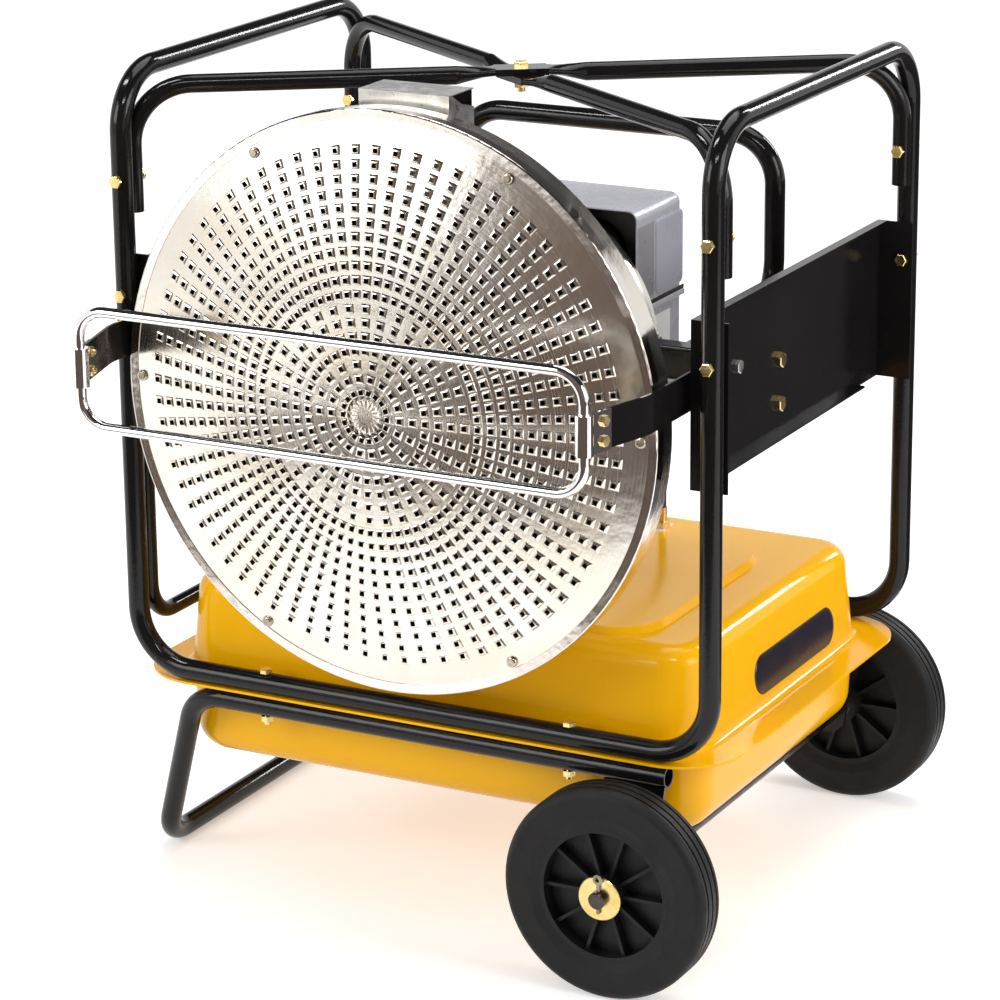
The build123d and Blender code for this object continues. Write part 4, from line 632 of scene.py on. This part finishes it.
# Bare plates and labels: a rounded outline carried through rows of (inset, height)
labelRows = ((0, -0.0003), (0, 0.0002), (0.0004, 0.0003))
caseSide = {"along": (0, 1, 0), "out": (1, 0, 0)}
plates = {
    "tankBadge": {
        "middle": (0.34105, 0.083, 0.297),
        "along": (0, 1, 0),
        "out": (0.9945, 0, 0.1045),
        "half": (0.116, 0.024),
        "corner": 0.024,
        "rows": ((0, -0.0006), (0, 0.0008), (0.0008, 0.0014), (0.0026, 0.0014), (0.0032, 0.001)),
        "slot": "case_black",
        "colors": ((0.010, 0.010, 0.018), (0.018, 0.017, 0.028)),
        "rough": 0.16,
    },
    "caseLabel": {
        **caseSide,
        "middle": (0.150, 0.0985, 0.6465),
        "half": (0.040, 0.0355),
        "corner": 0.0015,
        "rows": labelRows,
        "slot": "ceramic_white",
        "colors": ((0.80, 0.81, 0.80), (0.86, 0.86, 0.85)),
        "rough": 0.4,
    },
    "tankLabel": {
        "middle": (0.062, 0.2205, 0.3763),
        "along": (1, 0, 0),
        "out": (0, 0, 1),
        "half": (0.046, 0.0225),
        "corner": 0.003,
        "rows": labelRows,
        "slot": "ceramic_white",
        "colors": ((0.80, 0.80, 0.84), (0.86, 0.86, 0.88)),
        "rough": 0.35,
    },
    "casePanel": {
        **caseSide,
        "bothSides": True,
        "middle": (0.150, 0.1345, 0.7525),
        "half": (0.037, 0.045),
        "corner": 0.008,
        "rows": ((0, -0.0006), (0, 0.0004), (0.0006, 0.0014), (0.0022, 0.0018), (0.005, 0.0018)),
        "slot": "case_grey",
        "colors": ((0.41, 0.41, 0.48), (0.425, 0.425, 0.495)),
        "rough": 0.26,
    },
    "caseStrip": {
        **caseSide,
        "bothSides": True,
        "middle": (0.150, 0.0715, 0.7525),
        "half": (0.0225, 0.0445),
        "corner": 0.002,
        "rows": labelRows,
        "slot": "case_grey",
        "colors": ((0.27, 0.26, 0.28), (0.285, 0.275, 0.295)),
        "rough": 0.3,
    },
    "seamGap": {
        **caseSide,
        "bothSides": True,
        "middle": (0.150, 0.1125, 0.7008),
        "half": (0.064, 0.0026),
        "corner": 0.001,
        "rows": ((0, -0.0003), (0, 0.0003), (0.0003, 0.0004)),
        "slot": "case_black",
        "colors": ((0.012, 0.012, 0.014), (0.02, 0.02, 0.022)),
        "rough": 0.4,
    },
    "seamLip": {
        **caseSide,
        "bothSides": True,
        "middle": (0.150, 0.1125, 0.6946),
        "half": (0.064, 0.0034),
        "corner": 0.0015,
        "rows": ((0, -0.0004), (0, 0.0008), (0.0006, 0.0016), (0.0016, 0.0018)),
        "slot": "case_grey",
        "colors": ((0.50, 0.50, 0.54), (0.56, 0.56, 0.60)),
        "rough": 0.24,
    },
}
cornerSteps = 12
plateSharp = 30


# Four quarter circles joined by straight sides, as (along, up) for one inset
def roundedOutline(half, corner, inset):
    radius = max(corner - inset, 1e-5)
    turn = np.linspace(0, math.pi / 2, cornerSteps + 1)[None, :] + np.arange(4)[:, None] * math.pi / 2
    side = np.array([(1, 1), (-1, 1), (-1, -1), (1, -1)], float)
    centre = (side * (np.array(half) - inset - radius))[:, None, :]
    return centre + radius * np.stack([np.cos(turn), np.sin(turn)], axis=-1)


# Each row is the outline at its own inset and height, and one face closes the last row
def addPlate(name, values):
    along, out = np.array(values["along"], float), np.array(values["out"], float)
    up = np.cross(out, along)
    rings = []
    for inset, height in values["rows"]:
        flat = roundedOutline(values["half"], values["corner"], inset).reshape(-1, 2)
        rings.append(np.array(values["middle"]) + flat[:, :1] * along + flat[:, 1:] * up + height * out)
    count = len(rings[0])
    index = np.arange(len(rings) * count).reshape(len(rings), count)
    after = np.roll(index, -1, axis=1)
    quads = np.stack([index[:-1], after[:-1], after[1:], index[1:]], axis=-1).reshape(-1, 4).tolist()
    material = enamel(name, *values["colors"], values["rough"])
    faces = quads + [index[-1].tolist()]
    addMesh(name, np.concatenate(rings), faces, "heater", material, plateSharp)


for name, values in plates.items():
    addPlate(name, values)
    if values.get("bothSides"):
        x, *rest = values["middle"]
        addPlate(name + "Left", {**values, "middle": (-x, *rest), "out": (-1, 0, 0)})
print("plates done:", len(plates))


# Floor: takes the object's shadow near it, and is as white as the room to the eye and in mirrors
floorValues = {
    "half": 30.0,    # half the floor's side
    "colors": ((0.93, 0.93, 0.93), (0.94, 0.94, 0.94)),
    "patch": 0.7,
    "rough": 0.8,
    "shine": 0.05,
    "glowNear": 0.41,    # up to nearR from the middle
    "glowFar": 0.54,     # from farR outwards
    "nearR": 1.0,
    "farR": 5.0,
}
material, tree, shader = startMaterial(
    "floorWhite", Roughness=floorValues["rough"], Specular_IOR_Level=floorValues["shine"]
)
base, second = floorValues["colors"]
shade(tree, shader, base, useGroup(tree, "mottle", Scale=floorValues["patch"]), second)
place = addNode(tree, "ShaderNodeTexCoord")
away = addNode(tree, "ShaderNodeVectorMath", links={0: place.outputs["Object"]}, operation="LENGTH")
glowSpan = {"From Min": "nearR", "From Max": "farR", "To Min": "glowNear", "To Max": "glowFar"}
glow = addNode(
    tree,
    "ShaderNodeMapRange",
    {socket: floorValues[key] for socket, key in glowSpan.items()},
    {"Value": away.outputs["Value"]},
)
seenGlow = mathNode(tree, "MULTIPLY", seenRays(tree), glow.outputs[0])
tree.links.new(seenGlow, shader.inputs["Emission Strength"])
shader.inputs["Emission Color"].default_value = (1, 1, 1, 1)
half = floorValues["half"]
sides = ((-1, -1), (1, -1), (1, 1), (-1, 1))
floor = flatPiece("floor", [(a * half, b * half, 0) for a, b in sides], material)
floor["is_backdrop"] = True

low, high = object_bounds()
